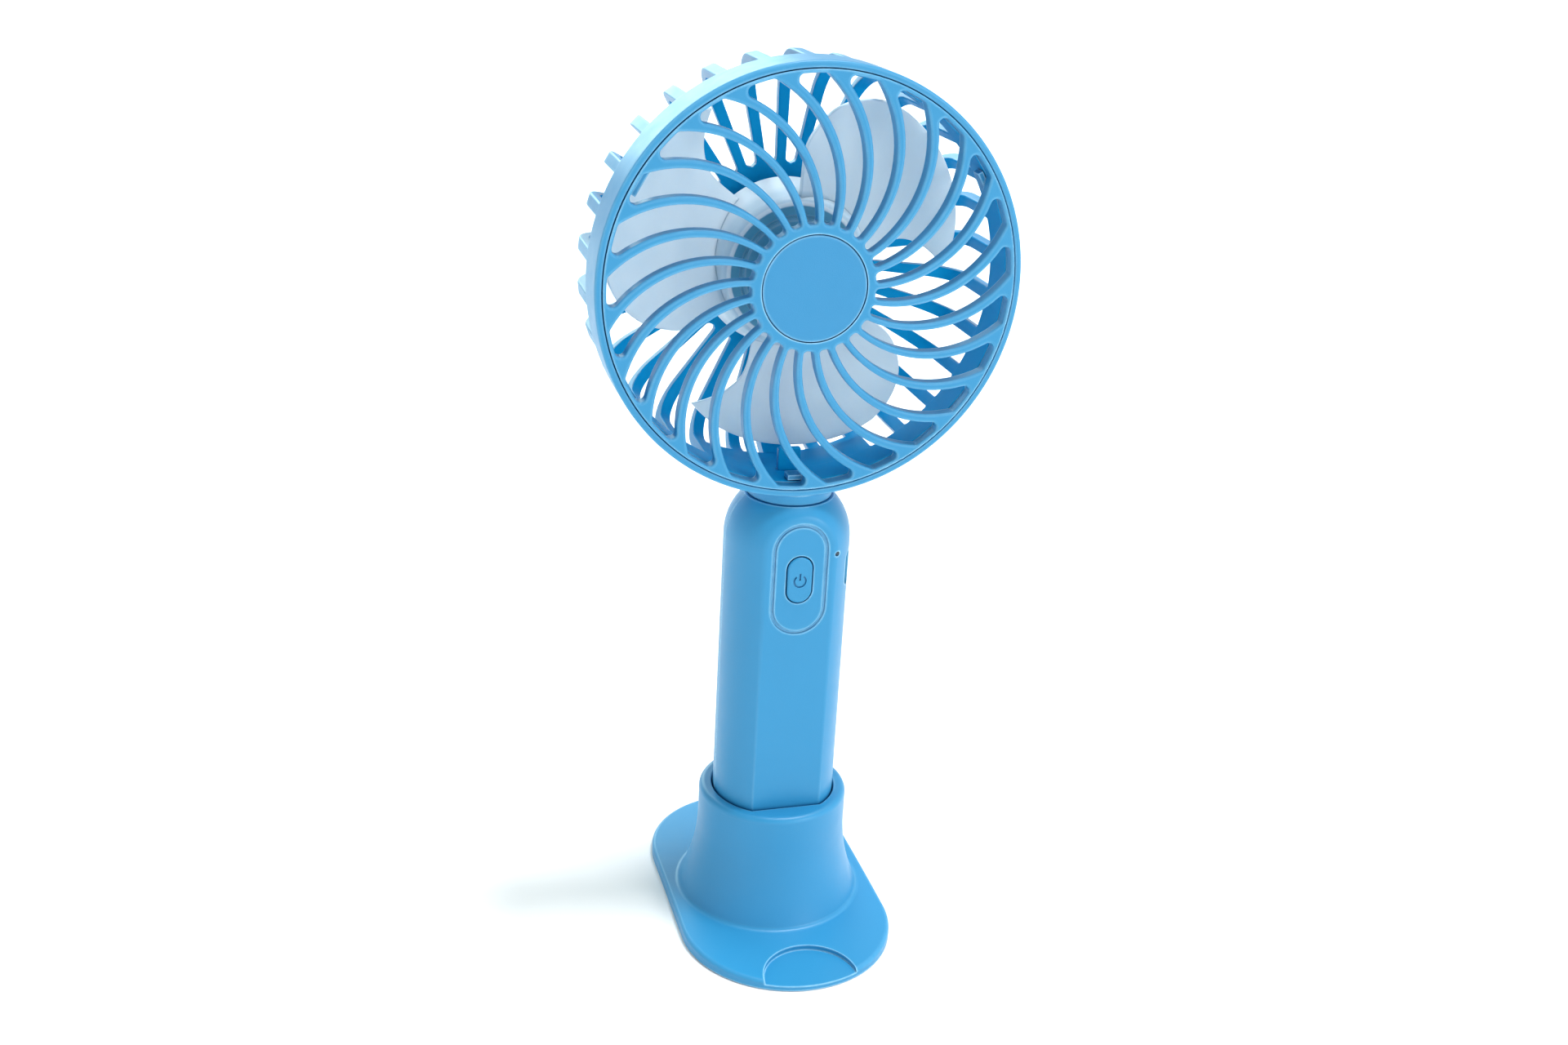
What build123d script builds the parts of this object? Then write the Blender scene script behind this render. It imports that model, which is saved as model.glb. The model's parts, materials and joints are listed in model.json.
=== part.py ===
"""Handheld electric fan on a slip-in stand, as an assembly of separate pieces.

Frame: millimetres, +Z up. The origin is the middle of the stand's underside, below the
handle's axis. The fan blows towards -Y, which is the front. +X is on the right, seen from
the front. The head's axis is level, along Y, at the height HEAD_Z.
"""
from build123d import *
from math import asin, cos, degrees, pi, radians, sin, sqrt
import os

os.makedirs("parts", exist_ok=True)

# ---- driving dimensions -------------------------------------------------------------
WALL = 1.8                 # moulded wall of the handle
FIT_GAP = 0.15             # gap between pieces that are pushed together
SLIDE_GAP = 0.3            # gap round a piece that slides

# stand
PLATE_HALF_WIDTH = 26.9
PLATE_ARC_Y = 17.6         # distance of the plate's end arcs from the middle
PLATE_MID_H = 3.1          # plate height under the collar
PLATE_END_H = 2.1          # plate height at its two round ends
COLLAR_R = 19.0
COLLAR_TOP_Z = 32.6
COLLAR_STRAIGHT_Z = 24.0   # the collar's wall is upright above this height
CONE_FOOT_R = 23.6
SKIRT_FILLET = 1.2
SOCKET_FLOOR_Z = 4.0
THUMB_NOTCH_R = 11.7
THUMB_NOTCH_DEPTH = 1.1

# handle
HANDLE_R = 15.5
FLAT_Y = -12.8             # the flat front of the handle
DOME_Z = 102.3             # centre of the handle's round top
HANDLE_TOP_Z = 113.3
CREASE_FILLET = 0.7
HANDLE_FOOT_FILLET = 0.6
NECK_R = 10.3
SPIGOT_R = 6.5
SPIGOT_FLANGE_R = 9.0
SPIGOT_FLANGE_Z = 108.5
SPIGOT_FLANGE_T = 2.7
WIRE_BORE_R = 2.4

# button, groove round it, lamp and charging port
BUTTON_Z = 95.3
BUTTON_HALF_W = 3.1
BUTTON_HALF_H = 5.9
BUTTON_GAP = 0.25
BUTTON_TRAVEL = 0.5
BUTTON_LEDGE = 0.9         # the button's flange stands out this far behind the wall
BUTTON_PROUD = 0.35
GROOVE_HALF_W = 6.5
GROOVE_HALF_H = 13.9
GROOVE_W = 0.8
GROOVE_DEPTH = 0.5
LAMP_X = 9.3
LAMP_Z = 101.3
LAMP_R = 0.55
LAMP_CHIP_SIZE = (1.6, 0.8)
LAMP_CHIP_T = 0.6
LAMP_PIPE_SUNK = 0.35
LAMP_PIPE_ROUND = 0.2
PORT_Y = -7.2
PORT_Z = 95.5
PORT_W = 9.0
PORT_H = 3.6

PORT_MOUTH_X = 11.4
PORT_DEPTH = 5.4
PORT_SHELL_T = 0.3
PORT_SHELL_W = 7.5
PORT_SHELL_H = 2.6
PORT_BACK_T = 0.5
PORT_SLANT = 1.1
TONGUE_ROOT_L = 0.9
TONGUE_L = 2.9
TONGUE_W = 3.4
TONGUE_T = 0.6
TONGUE_OFFSET = 0.25
TONGUE_GAP = 0.02

# push switch
SWITCH_BODY_H = 3.5
SWITCH_STEM_H = BUTTON_TRAVEL + 0.3
SWITCH_SIDE = 6.0
SWITCH_STEM_R = 1.7
SWITCH_CORNER = 0.4
SWITCH_WELL_DEPTH = 1.6
SWITCH_RUN_GAP = 0.05

# circuit board
BOARD_FRONT_Y = -5.9
BOARD_T = 1.2
BOARD_HALF_W = 10.5
BOARD_BOTTOM_Z = 81.0
BOARD_TOP_Z = 103.5
BOARD_POSTS = [(-8.4, 84.0), (8.4, 84.0), (-8.4, 100.5)]
BOARD_POST_R = 1.3
BOARD_SCREWS = [BOARD_POSTS[0], BOARD_POSTS[2]]
BOARD_SCREW_R = 0.7
BOARD_SCREW_L = 5.0
BOARD_SCREW_HEAD_R = 1.4
BOARD_SCREW_HEAD_H = 0.9

# battery
CELL_R = 9.1
CELL_LENGTH = 65.0
CELL_BOTTOM_Z = 13.6
CELL_Y = 1.5
SLEEVE_T = 0.15
CELL_ROUND = 0.5
CELL_CAP_R = 3.2
CELL_CAP_H = 1.0
CELL_CAP_RISE = 0.8
SLEEVE_END_GAP = 0.6
SLEEVE_SHORTER = 2.0
TAB_T = 0.2
TAB_W = 4.0
TAB_CORNER = 0.6
TOP_TAB_L = 8.0
TOP_TAB_X = 1.5
FOOT_TAB_L = 13.0
FOOT_TAB_X = -4.0
PAD_W = 9.0
PAD_H = 40.0
PAD_T = 1.6
PAD_GAP = 0.1
PAD_CORNER = 1.0

# shell screws: x, z
SHELL_SCREWS = [(0.0, 9.0), (-7.0, 106.0), (7.0, 106.0)]
SCREW_R = 1.0
SCREW_HEAD_R = 1.9
SCREW_HEAD_H = 1.3
SCREW_SEAT_Y = 9.6         # the rear shell's bosses carry the screw heads here
SCREW_L = 16.0
POST_R = 2.3

# head
HEAD_Z = 166.0
HEAD_R = 50.0
BAND_FRONT_Y = -11.1
BAND_REAR_Y = 1.0
BAND_INNER_R = 47.0
GRILLE_R = 48.2
GRILLE_FRONT_Y = -11.3
GRILLE_T = 3.0
GRILLE_HUB_R = 14.6
GRILLE_RIM_IN_R = 47.3
HOOK_COUNT = 3
HOOK_R = 46.1
HOOK_SIZE = (1.2, 6.0)
HOOK_L = 3.2
RIB_COUNT = 25
RIB_ARC_R = 28.37          # every rib follows an arc of this radius
RIB_ARC_CENTRE = (-27.84, 14.66)
RIB_INNER_W = 1.35
RIB_OUTER_W = 2.1
BADGE_R = 12.3
BADGE_T = 1.0
BADGE_GAP = 0.2
BADGE_ROUND = 0.3

# rear grille
REAR_Y = 24.0              # rear face of the head
BOWL_WALL = 2.6
FIN_OUTER_R = 49.7
FIN_BEND_R = 10.5
FIN_COUNT = 30
REAR_PLATE_R = 22.5
SLOT_FOOT_HALF_W = 1.35
SLOT_HALF_ANGLE = 4.35     # degrees, at the drum wall
SADDLE_REAR_Y = 12.5       # the drum wall stays closed up to here above the neck
BAND_FRONT_FILLET = 1.2
NECK_SUNK = 1.2
LATCH_X = -0.6
LATCH_SIZE = (5.6, 1.8)
LATCH_H = 5.6
SLOT_OVERRUN = 6.0

# motor and its pocket
MOTOR_R = 12.2
MOTOR_FRONT_Y = 8.2
MOTOR_REAR_Y = 20.5
POCKET_OUTER_R = 14.4
POCKET_FRONT_Y = 7.0
SHAFT_R = 1.0
SHAFT_RUN_GAP = 0.03
BUSH_R = 2.6
CAN_T = 0.9
CAN_ROUND = 0.8
CAP_RIM_T = 1.2
CAP_T = 2.0
BUSH_FRONT_SPAN = (-0.8, 1.4)      # from the motor's front face
BUSH_REAR_SPAN = (-2.4, -0.6)      # from the motor's rear face
MAGNET_T = 1.9
MAGNET_FRONT_Y = 10.2
MAGNET_REAR_Y = 17.6
MAGNET_GAP_H = 7.0
BRUSH_T = 0.3
BRUSH_H = 6.0
BRUSH_L = 1.45
TERMINAL_SIZE = (1.0, 1.6)
ROTOR_R = 8.6
ROTOR_HUB_R = 3.4
ROTOR_ARM_W = 2.6
ROTOR_SHOE_T = 1.2
ROTOR_SHOE_HALF_ANGLE = 52
COIL_START_R = 3.6
COIL_L = 3.2
COIL_W = 4.8
COIL_OVERHANG = 0.7
COIL_ROUND = 0.5
SHAFT_CHAMFER = 0.15
ROTOR_FRONT_Y = 11.4
ROTOR_REAR_Y = 16.0
COVER_Y = 22.4             # inner face of the rear cover
COVER_R = 16.0
COVER_TAIL_R = FIN_OUTER_R - FIN_BEND_R - 0.4
DUCT_HALF_W = 3.2
DUCT_FRONT_LAP = 1.6
DUCT_SHOULDER = 4.5
TAIL_MARGIN = 0.6          # the cover's tail is wider than the wire channel by this at each side
COVER_ROUND = 0.5
COVER_RING_R = 10.56
COVER_RING_W = 0.8
COVER_RING_DEPTH = 0.4
CHANNEL_HALF_W = 1.75
COMMUTATOR_R = 2.7
MOTOR_BOSS_R = 3.1         # the nose of the motor round its front bush
MOTOR_SCREW_X = 8.0
MOTOR_HOLE_GAP = 0.1
MOTOR_BOSS_GAP = 0.3
MOTOR_SCREW_L = 2.9
MOTOR_SCREW_HEAD_R = 1.8
MOTOR_SCREW_HEAD_H = 0.7

# impeller
HUB_FRONT_Y = 4.2
HUB_REAR_Y = 17.0
HUB_FRONT_R = 17.9
HUB_REAR_R = 20.2
HUB_WALL = 1.6
BLADE_COUNT = 3
BLADE_TIP_ANGLE = 90.0     # degrees clockwise from the top, seen from the front
BLADE_SPAN = 92.0          # degrees from the round lobe to the sharp tip
BLADE_R = 44.8
BLADE_T = 1.3
BLADE_FRONT_Y = 5.4
BLADE_REAR_Y = 15.2
HUB_NOSE_R = 2.2
HUB_BOSS_R = 3.0
SHAFT_FRONT_Y = 4.8

# wires from the motor: down the rear grille in a duct, forward over the neck, then into the handle
WIRE_R = 0.55
WIRE_X = 0.85
WIRE_DUCT_Y = 21.6
WIRE_FLOOR_R = 48.3        # distance of the wires below the head's axis, over the neck
WIRE_BEND_R = 9.0
MOTOR_WIRE_BENDS = [WIRE_BEND_R, 2.4, 1.4, 0.7]
TERMINAL_H = 0.5
TERMINAL_R = 6.0

# screw heads, as parts of their radius or height
HEAD_ROUND = 0.35
HEAD_CHAMFER = 0.4
CROSS_SPAN = 1.1
CROSS_W = 0.28
CROSS_DEPTH = 0.6

# ---- shared planes, axes and outlines -------------------------------------------------
HEAD_AXIS = Axis((0, 0, HEAD_Z), (0, 1, 0))


def front_plane(y, z=0.0):
    """A plane square to Y: its x is X, its y is Z, and it faces the front (-Y)."""
    return Plane(origin=(0, y, z), x_dir=(1, 0, 0), z_dir=(0, -1, 0))


def head_plane(y):
    """The same, centred on the head's axis."""
    return front_plane(y, HEAD_Z)


HEAD_PROFILE = Plane(origin=(0, 0, HEAD_Z), x_dir=(0, 1, 0), z_dir=(1, 0, 0))   # x is Y, y is radius


def on_head(angle, radius):
    """A point of the head plane, its angle clockwise from the top as seen from the front."""
    return (radius * sin(radians(angle)), radius * cos(radians(angle)))


def pill_sketch(half_w, half_h):
    """An upright pill outline, drawn in the sketch that is open."""
    SlotOverall(2 * half_h, 2 * half_w, rotation=90)


def save(part, name):
    """Label a finished piece and write it."""
    part.label = name
    export_step(part, f"parts/{name}.step")


def ring_block(outer_r, inner_r, front_y, rear_y):
    """A plain ring about the head's axis between two Y values, as a closed solid."""
    with BuildPart() as ring:
        with BuildSketch(head_plane(rear_y)):
            Circle(outer_r)
            if inner_r > 0:
                Circle(inner_r, mode=Mode.SUBTRACT)
        extrude(amount=rear_y - front_y)
    return ring.part


# ---- stand ----------------------------------------------------------------------------
def handle_outline(gap):
    """The handle's D-shaped section grown by a gap, drawn in the sketch that is open."""
    Circle(HANDLE_R + gap)
    with Locations((0, FLAT_Y - gap)):
        Rectangle(4 * HANDLE_R, 2 * HANDLE_R, align=(Align.CENTER, Align.MAX), mode=Mode.SUBTRACT)


def make_stand():
    plate_length = 2 * (PLATE_ARC_Y + PLATE_HALF_WIDTH)
    drop = PLATE_MID_H - PLATE_END_H
    crown_r = (plate_length / 2) ** 2 / (2 * drop)
    cone_rise = COLLAR_STRAIGHT_Z - PLATE_MID_H
    cone_spread = CONE_FOOT_R - COLLAR_R
    cone_arc_r = (cone_rise ** 2 + cone_spread ** 2) / (2 * cone_spread)
    half_turn = asin(cone_rise / cone_arc_r) / 2
    arc_mid = (COLLAR_R + cone_arc_r * (1 - cos(half_turn)), COLLAR_STRAIGHT_Z - cone_arc_r * sin(half_turn))
    # the skirt's arc runs on into the plate, so that it meets the crowned face all round
    sunk_rise = COLLAR_STRAIGHT_Z - PLATE_END_H
    sunk_foot = (COLLAR_R + cone_arc_r - sqrt(cone_arc_r ** 2 - sunk_rise ** 2), PLATE_END_H)
    skirt_wall = 2.0
    under_r = HANDLE_R + SLIDE_GAP + skirt_wall
    hollow_taper = 1.4
    hollow_rise = 4.0
    floor_recess_r = HANDLE_R - 1
    plate_edge_round = 0.9
    rim_round = 1.5
    mouth_round = 0.5
    notch_inset = 2.6
    notch_face_z = PLATE_END_H + 0.3 - THUMB_NOTCH_DEPTH

    with BuildPart() as stand:
        # crowned stadium plate
        with BuildSketch():
            SlotOverall(plate_length, 2 * PLATE_HALF_WIDTH, rotation=90)
        extrude(amount=PLATE_MID_H)
        with Locations((0, 0, PLATE_MID_H - crown_r)):
            Cylinder(crown_r, 4 * PLATE_HALF_WIDTH, rotation=(0, 90, 0), mode=Mode.INTERSECT)
        fillet(stand.faces().sort_by(Axis.Z)[-1].edges(), plate_edge_round)
        # collar and its flared skirt
        with BuildSketch(Plane.XZ):
            with BuildLine():
                Line((0, 0), (sunk_foot[0], 0))
                Line((sunk_foot[0], 0), sunk_foot)
                ThreePointArc(sunk_foot, arc_mid, (COLLAR_R, COLLAR_STRAIGHT_Z))
                Line((COLLAR_R, COLLAR_STRAIGHT_Z), (COLLAR_R, COLLAR_TOP_Z))
                Line((COLLAR_R, COLLAR_TOP_Z), (0, COLLAR_TOP_Z))
                Line((0, COLLAR_TOP_Z), (0, 0))
            make_face()
        revolve(axis=Axis.Z)
        rim = stand.edges().filter_by(GeomType.CIRCLE).sort_by(Axis.Z)[-1]
        fillet(rim, rim_round)
        # socket for the handle
        with BuildSketch(Plane.XY.offset(SOCKET_FLOOR_Z)):
            handle_outline(SLIDE_GAP)
        extrude(amount=COLLAR_TOP_Z, mode=Mode.SUBTRACT)
        mouth = stand.edges().filter_by_position(Axis.Z, COLLAR_TOP_Z - 0.01, COLLAR_TOP_Z + 0.01)
        fillet(mouth.filter_by(lambda e: e.length < 2 * pi * (HANDLE_R + 1)).sort_by(Edge.length)[:2], mouth_round)
        # soft corner where the skirt meets the plate
        wavy = stand.edges().filter_by(GeomType.BSPLINE)
        fillet(wavy.filter_by(lambda e: abs(e.bounding_box().size.X - 2 * CONE_FOOT_R) < 1), SKIRT_FILLET)
        # thumb notch at the front edge
        notch_y = PLATE_ARC_Y + PLATE_HALF_WIDTH - notch_inset
        with BuildSketch(Plane.XY.offset(notch_face_z)):
            with Locations((0, -notch_y)):
                Circle(THUMB_NOTCH_R)
        extrude(amount=PLATE_MID_H, mode=Mode.SUBTRACT)
        # moulding hollow under the skirt and under the socket floor
        with BuildSketch(Plane.XZ):
            with BuildLine():
                Polyline(
                    (under_r, 0),
                    (CONE_FOOT_R - skirt_wall, 0),
                    (CONE_FOOT_R - skirt_wall - hollow_taper, PLATE_MID_H + hollow_rise),
                    (under_r, COLLAR_STRAIGHT_Z / 2),
                    close=True,
                )
            make_face()
        revolve(axis=Axis.Z, mode=Mode.SUBTRACT)
        with BuildSketch():
            Circle(floor_recess_r)
        extrude(amount=SOCKET_FLOOR_Z - skirt_wall, mode=Mode.SUBTRACT)
    save(stand.part, "stand_base")


# ---- handle ---------------------------------------------------------------------------
def make_handle_body():
    """The closed outer form of the handle: a D section with a round top."""
    with BuildPart() as body:
        with BuildSketch(Plane.XZ):
            with BuildLine():
                Line((0, SOCKET_FLOOR_Z), (HANDLE_R, SOCKET_FLOOR_Z))
                Line((HANDLE_R, SOCKET_FLOOR_Z), (HANDLE_R, DOME_Z))
                CenterArc((0, DOME_Z), HANDLE_R, 0, degrees(asin((HANDLE_TOP_Z - DOME_Z) / HANDLE_R)))
                top_r = sqrt(HANDLE_R ** 2 - (HANDLE_TOP_Z - DOME_Z) ** 2)
                Line((top_r, HANDLE_TOP_Z), (0, HANDLE_TOP_Z))
                Line((0, HANDLE_TOP_Z), (0, SOCKET_FLOOR_Z))
            make_face()
        revolve(axis=Axis.Z)
        split(bisect_by=Plane(origin=(0, FLAT_Y, 0), z_dir=(0, 1, 0)), keep=Keep.TOP)
        flat = body.faces().filter_by(Plane.XZ).sort_by(Axis.Y)[0]
        crease = flat.edges().filter_by(lambda e: e.center().Z > SOCKET_FLOOR_Z + 1)
        fillet(crease, CREASE_FILLET)
        foot = body.faces().sort_by(Axis.Z)[0].edges()
        fillet(foot, HANDLE_FOOT_FILLET)
    return body.part


def make_handle_cavity():
    """The space inside the handle."""
    inner_r = HANDLE_R - WALL
    ceiling_z = HANDLE_TOP_Z - WALL
    floor_z = SOCKET_FLOOR_Z + WALL
    with BuildPart() as cavity:
        with BuildSketch(Plane.XZ):
            with BuildLine():
                Line((0, floor_z), (inner_r, floor_z))
                Line((inner_r, floor_z), (inner_r, DOME_Z))
                CenterArc((0, DOME_Z), inner_r, 0, degrees(asin((ceiling_z - DOME_Z) / inner_r)))
                top_r = sqrt(inner_r ** 2 - (ceiling_z - DOME_Z) ** 2)
                Line((top_r, ceiling_z), (0, ceiling_z))
                Line((0, ceiling_z), (0, floor_z))
            make_face()
        revolve(axis=Axis.Z)
        split(bisect_by=Plane(origin=(0, FLAT_Y + WALL, 0), z_dir=(0, 1, 0)), keep=Keep.TOP)
    return cavity.part


def make_handle_shells():
    body = make_handle_body()
    cavity = make_handle_cavity()
    lip_t = 0.8
    lip_reach = 1.0
    lip_root = 2.0
    lip_length = 60.0
    split_gap = 0.2
    shell_hole_l = 8.6
    board_hole_l = 4.6
    lamp_gap = 0.05
    lamp_hole_start_y = BOARD_FRONT_Y - 2
    seat_gap = 0.3

    with BuildPart() as half_space:
        with BuildSketch(front_plane(0)):
            Rectangle(4 * HANDLE_R, 4 * HEAD_Z)
        extrude(amount=2 * HANDLE_R)

    with BuildPart() as front:
        add(body)
        add(cavity, mode=Mode.SUBTRACT)
        add(half_space.part, mode=Mode.INTERSECT)
        # screw posts and board posts
        with BuildSketch(front_plane(-split_gap)):
            with Locations(*SHELL_SCREWS):
                Circle(POST_R)
        extrude(amount=-(FLAT_Y + WALL / 2), mode=Mode.ADD)
        with BuildSketch(front_plane(BOARD_FRONT_Y)):
            with Locations(*BOARD_POSTS):
                Circle(BOARD_POST_R)
        extrude(amount=BOARD_FRONT_Y - FLAT_Y - WALL / 2)
        add(body, mode=Mode.INTERSECT)
        # self-tapping holes
        with BuildSketch(front_plane(-split_gap)):
            with Locations(*SHELL_SCREWS):
                Circle(SCREW_R)
        extrude(amount=shell_hole_l, mode=Mode.SUBTRACT)
        with BuildSketch(front_plane(BOARD_FRONT_Y)):
            with Locations(*BOARD_SCREWS):
                Circle(BOARD_SCREW_R)
        extrude(amount=board_hole_l, mode=Mode.SUBTRACT)
        # opening for the neck
        with BuildSketch(Plane.XY.offset(HANDLE_TOP_Z - 2 * WALL)):
            Circle(SPIGOT_R + FIT_GAP)
        extrude(amount=3 * WALL, mode=Mode.SUBTRACT)
        # button opening and the groove round it
        with BuildSketch(front_plane(FLAT_Y + 2 * WALL, BUTTON_Z)):
            pill_sketch(BUTTON_HALF_W + BUTTON_GAP, BUTTON_HALF_H + BUTTON_GAP)
        extrude(amount=3 * WALL, mode=Mode.SUBTRACT)
        with BuildSketch(front_plane(FLAT_Y + GROOVE_DEPTH, BUTTON_Z)):
            pill_sketch(GROOVE_HALF_W + GROOVE_W / 2, GROOVE_HALF_H + GROOVE_W / 2)
            SlotOverall(2 * GROOVE_HALF_H - GROOVE_W, 2 * GROOVE_HALF_W - GROOVE_W, rotation=90, mode=Mode.SUBTRACT)
        extrude(amount=WALL, mode=Mode.SUBTRACT)
        # lamp hole
        with BuildSketch(front_plane(lamp_hole_start_y, LAMP_Z)):
            with Locations((LAMP_X, 0)):
                Circle(LAMP_R + lamp_gap)
        extrude(amount=HANDLE_R, mode=Mode.SUBTRACT)
        # charging port
        with BuildSketch(Plane(origin=(BOARD_HALF_W, PORT_Y, PORT_Z), x_dir=(0, 1, 0), z_dir=(1, 0, 0))):
            SlotOverall(PORT_W, PORT_H, rotation=90)
        extrude(amount=HANDLE_R, mode=Mode.SUBTRACT)
    save(front.part, "handle_front_shell")

    with BuildPart() as rear:
        add(body)
        add(cavity, mode=Mode.SUBTRACT)
        add(half_space.part, mode=Mode.SUBTRACT)
        with BuildSketch(front_plane(HANDLE_R - WALL / 2)):
            with Locations(*SHELL_SCREWS):
                Circle(POST_R)
        extrude(amount=HANDLE_R - WALL / 2)
        add(body, mode=Mode.INTERSECT)
        # locating lip that reaches into the front shell at both sides
        lip_x = HANDLE_R - WALL - FIT_GAP - lip_t / 2
        with BuildSketch(Plane.XY.offset(CELL_BOTTOM_Z)):
            with Locations((-lip_x, -lip_reach), (lip_x, -lip_reach)):
                Rectangle(lip_t, lip_reach + lip_root, align=(Align.CENTER, Align.MIN))
            with Locations((-lip_x - FIT_GAP, 0), (lip_x + FIT_GAP, 0)):
                Rectangle(lip_t + 2 * FIT_GAP, lip_root, align=(Align.CENTER, Align.MIN))
        extrude(amount=lip_length)
        # screw seats, open to the back, and clearance holes
        with BuildSketch(front_plane(2 * HANDLE_R)):
            with Locations(*SHELL_SCREWS):
                Circle(SCREW_HEAD_R + seat_gap)
        extrude(amount=2 * HANDLE_R - SCREW_SEAT_Y, mode=Mode.SUBTRACT)
        with BuildSketch(front_plane(HANDLE_R)):
            with Locations(*SHELL_SCREWS):
                Circle(SCREW_R + FIT_GAP)
        extrude(amount=HANDLE_R + 1, mode=Mode.SUBTRACT)
        # opening for the neck
        with BuildSketch(Plane.XY.offset(HANDLE_TOP_Z - 2 * WALL)):
            Circle(SPIGOT_R + FIT_GAP)
        extrude(amount=3 * WALL, mode=Mode.SUBTRACT)
    save(rear.part, "handle_rear_shell")


def make_screws(name, places, seat_y, shank_r, shank_l, head_r, head_h):
    """Pan-head screws that point to the front, heads on seat_y, as one group of solids."""
    with BuildPart() as screws:
        with BuildSketch(front_plane(seat_y)):
            with Locations(*places):
                Circle(shank_r)
        extrude(amount=shank_l)
        with BuildSketch(front_plane(seat_y + head_h)):
            with Locations(*places):
                Circle(head_r)
        extrude(amount=head_h)
        tops = screws.faces().filter_by(GeomType.PLANE).group_by(Axis.Y)[-1]
        fillet(tops.edges().filter_by(GeomType.CIRCLE), head_h * HEAD_ROUND)
        # cross recess
        with BuildSketch(front_plane(seat_y + head_h)):
            with Locations(*places):
                Rectangle(head_r * CROSS_SPAN, head_r * CROSS_W)
                Rectangle(head_r * CROSS_W, head_r * CROSS_SPAN)
        extrude(amount=head_h * CROSS_DEPTH, mode=Mode.SUBTRACT)
    save(screws.part, name)


def make_shell_screws():
    make_screws("shell_screws", SHELL_SCREWS, SCREW_SEAT_Y, SCREW_R, SCREW_L, SCREW_HEAD_R, SCREW_HEAD_H)


def make_board_screws():
    seat_y = BOARD_FRONT_Y + BOARD_T
    make_screws(
        "board_screws", BOARD_SCREWS, seat_y, BOARD_SCREW_R, BOARD_SCREW_L, BOARD_SCREW_HEAD_R, BOARD_SCREW_HEAD_H
    )


def make_motor_screws():
    """Two flat-head screws that hold the motor from the front, as one group of solids."""
    places = [(-MOTOR_SCREW_X, 0), (MOTOR_SCREW_X, 0)]
    with BuildPart() as screws:
        with BuildSketch(head_plane(POCKET_FRONT_Y + MOTOR_SCREW_L)):
            with Locations(*places):
                Circle(SCREW_R)
        extrude(amount=MOTOR_SCREW_L)
        with BuildSketch(head_plane(POCKET_FRONT_Y)):
            with Locations(*places):
                Circle(MOTOR_SCREW_HEAD_R)
        extrude(amount=MOTOR_SCREW_HEAD_H)
        chamfer(screws.faces().group_by(Axis.Y)[0].edges(), MOTOR_SCREW_HEAD_H * HEAD_CHAMFER)
        # cross recess
        with BuildSketch(head_plane(POCKET_FRONT_Y - MOTOR_SCREW_HEAD_H * HEAD_CHAMFER)):
            with Locations(*places):
                Rectangle(MOTOR_SCREW_HEAD_R * CROSS_SPAN, MOTOR_SCREW_HEAD_R * CROSS_W)
                Rectangle(MOTOR_SCREW_HEAD_R * CROSS_W, MOTOR_SCREW_HEAD_R * CROSS_SPAN)
        extrude(amount=MOTOR_SCREW_HEAD_H, mode=Mode.SUBTRACT)
    save(screws.part, "motor_screws")


# ---- button, board and what is on it ------------------------------------------------------
def make_button():
    cap_front_y = FLAT_Y - BUTTON_PROUD
    stem_front_y = BOARD_FRONT_Y - SWITCH_BODY_H - SWITCH_STEM_H
    flange_y = FLAT_Y + WALL + FIT_GAP
    cap_round = 0.4
    mark_depth = 0.2
    mark_z = BUTTON_Z - 0.2
    mark_outer_r = 1.45
    mark_inner_r = 1.15
    mark_gap_w = 0.9
    mark_gap_h = 1.2
    mark_gap_z = 1.3
    mark_bar_w = 0.3
    mark_bar_h = 1.5
    mark_bar_z = 1.1
    stem_root = 0.5            # the stem's length inside the switch body
    stem_chamfer = 0.15
    with BuildPart() as button:
        with BuildSketch(front_plane(flange_y, BUTTON_Z)):
            pill_sketch(BUTTON_HALF_W, BUTTON_HALF_H)
        extrude(amount=flange_y - cap_front_y)
        fillet(button.faces().sort_by(Axis.Y)[0].edges(), cap_round)
        # flange behind the wall keeps the button in
        with BuildSketch(front_plane(stem_front_y, BUTTON_Z)):
            pill_sketch(BUTTON_HALF_W + BUTTON_LEDGE, BUTTON_HALF_H + BUTTON_LEDGE)
        extrude(amount=stem_front_y - flange_y)
        # power mark: an open ring and a bar, sunk in the cap
        with BuildSketch(front_plane(cap_front_y + mark_depth, mark_z)):
            Circle(mark_outer_r)
            Circle(mark_inner_r, mode=Mode.SUBTRACT)
            with Locations((0, mark_gap_z)):
                Rectangle(mark_gap_w, mark_gap_h, mode=Mode.SUBTRACT)
            with Locations((0, mark_bar_z)):
                Rectangle(mark_bar_w, mark_bar_h)
        extrude(amount=2 * mark_depth, mode=Mode.SUBTRACT)
    save(button.part, "power_button")

    with BuildPart() as stem:
        with BuildSketch(front_plane(stem_front_y + SWITCH_STEM_H + stem_root, BUTTON_Z)):
            Circle(SWITCH_STEM_R)
        extrude(amount=SWITCH_STEM_H + stem_root)
        chamfer(stem.faces().sort_by(Axis.Y)[0].edges(), stem_chamfer)
    save(stem.part, "switch_stem")


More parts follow.
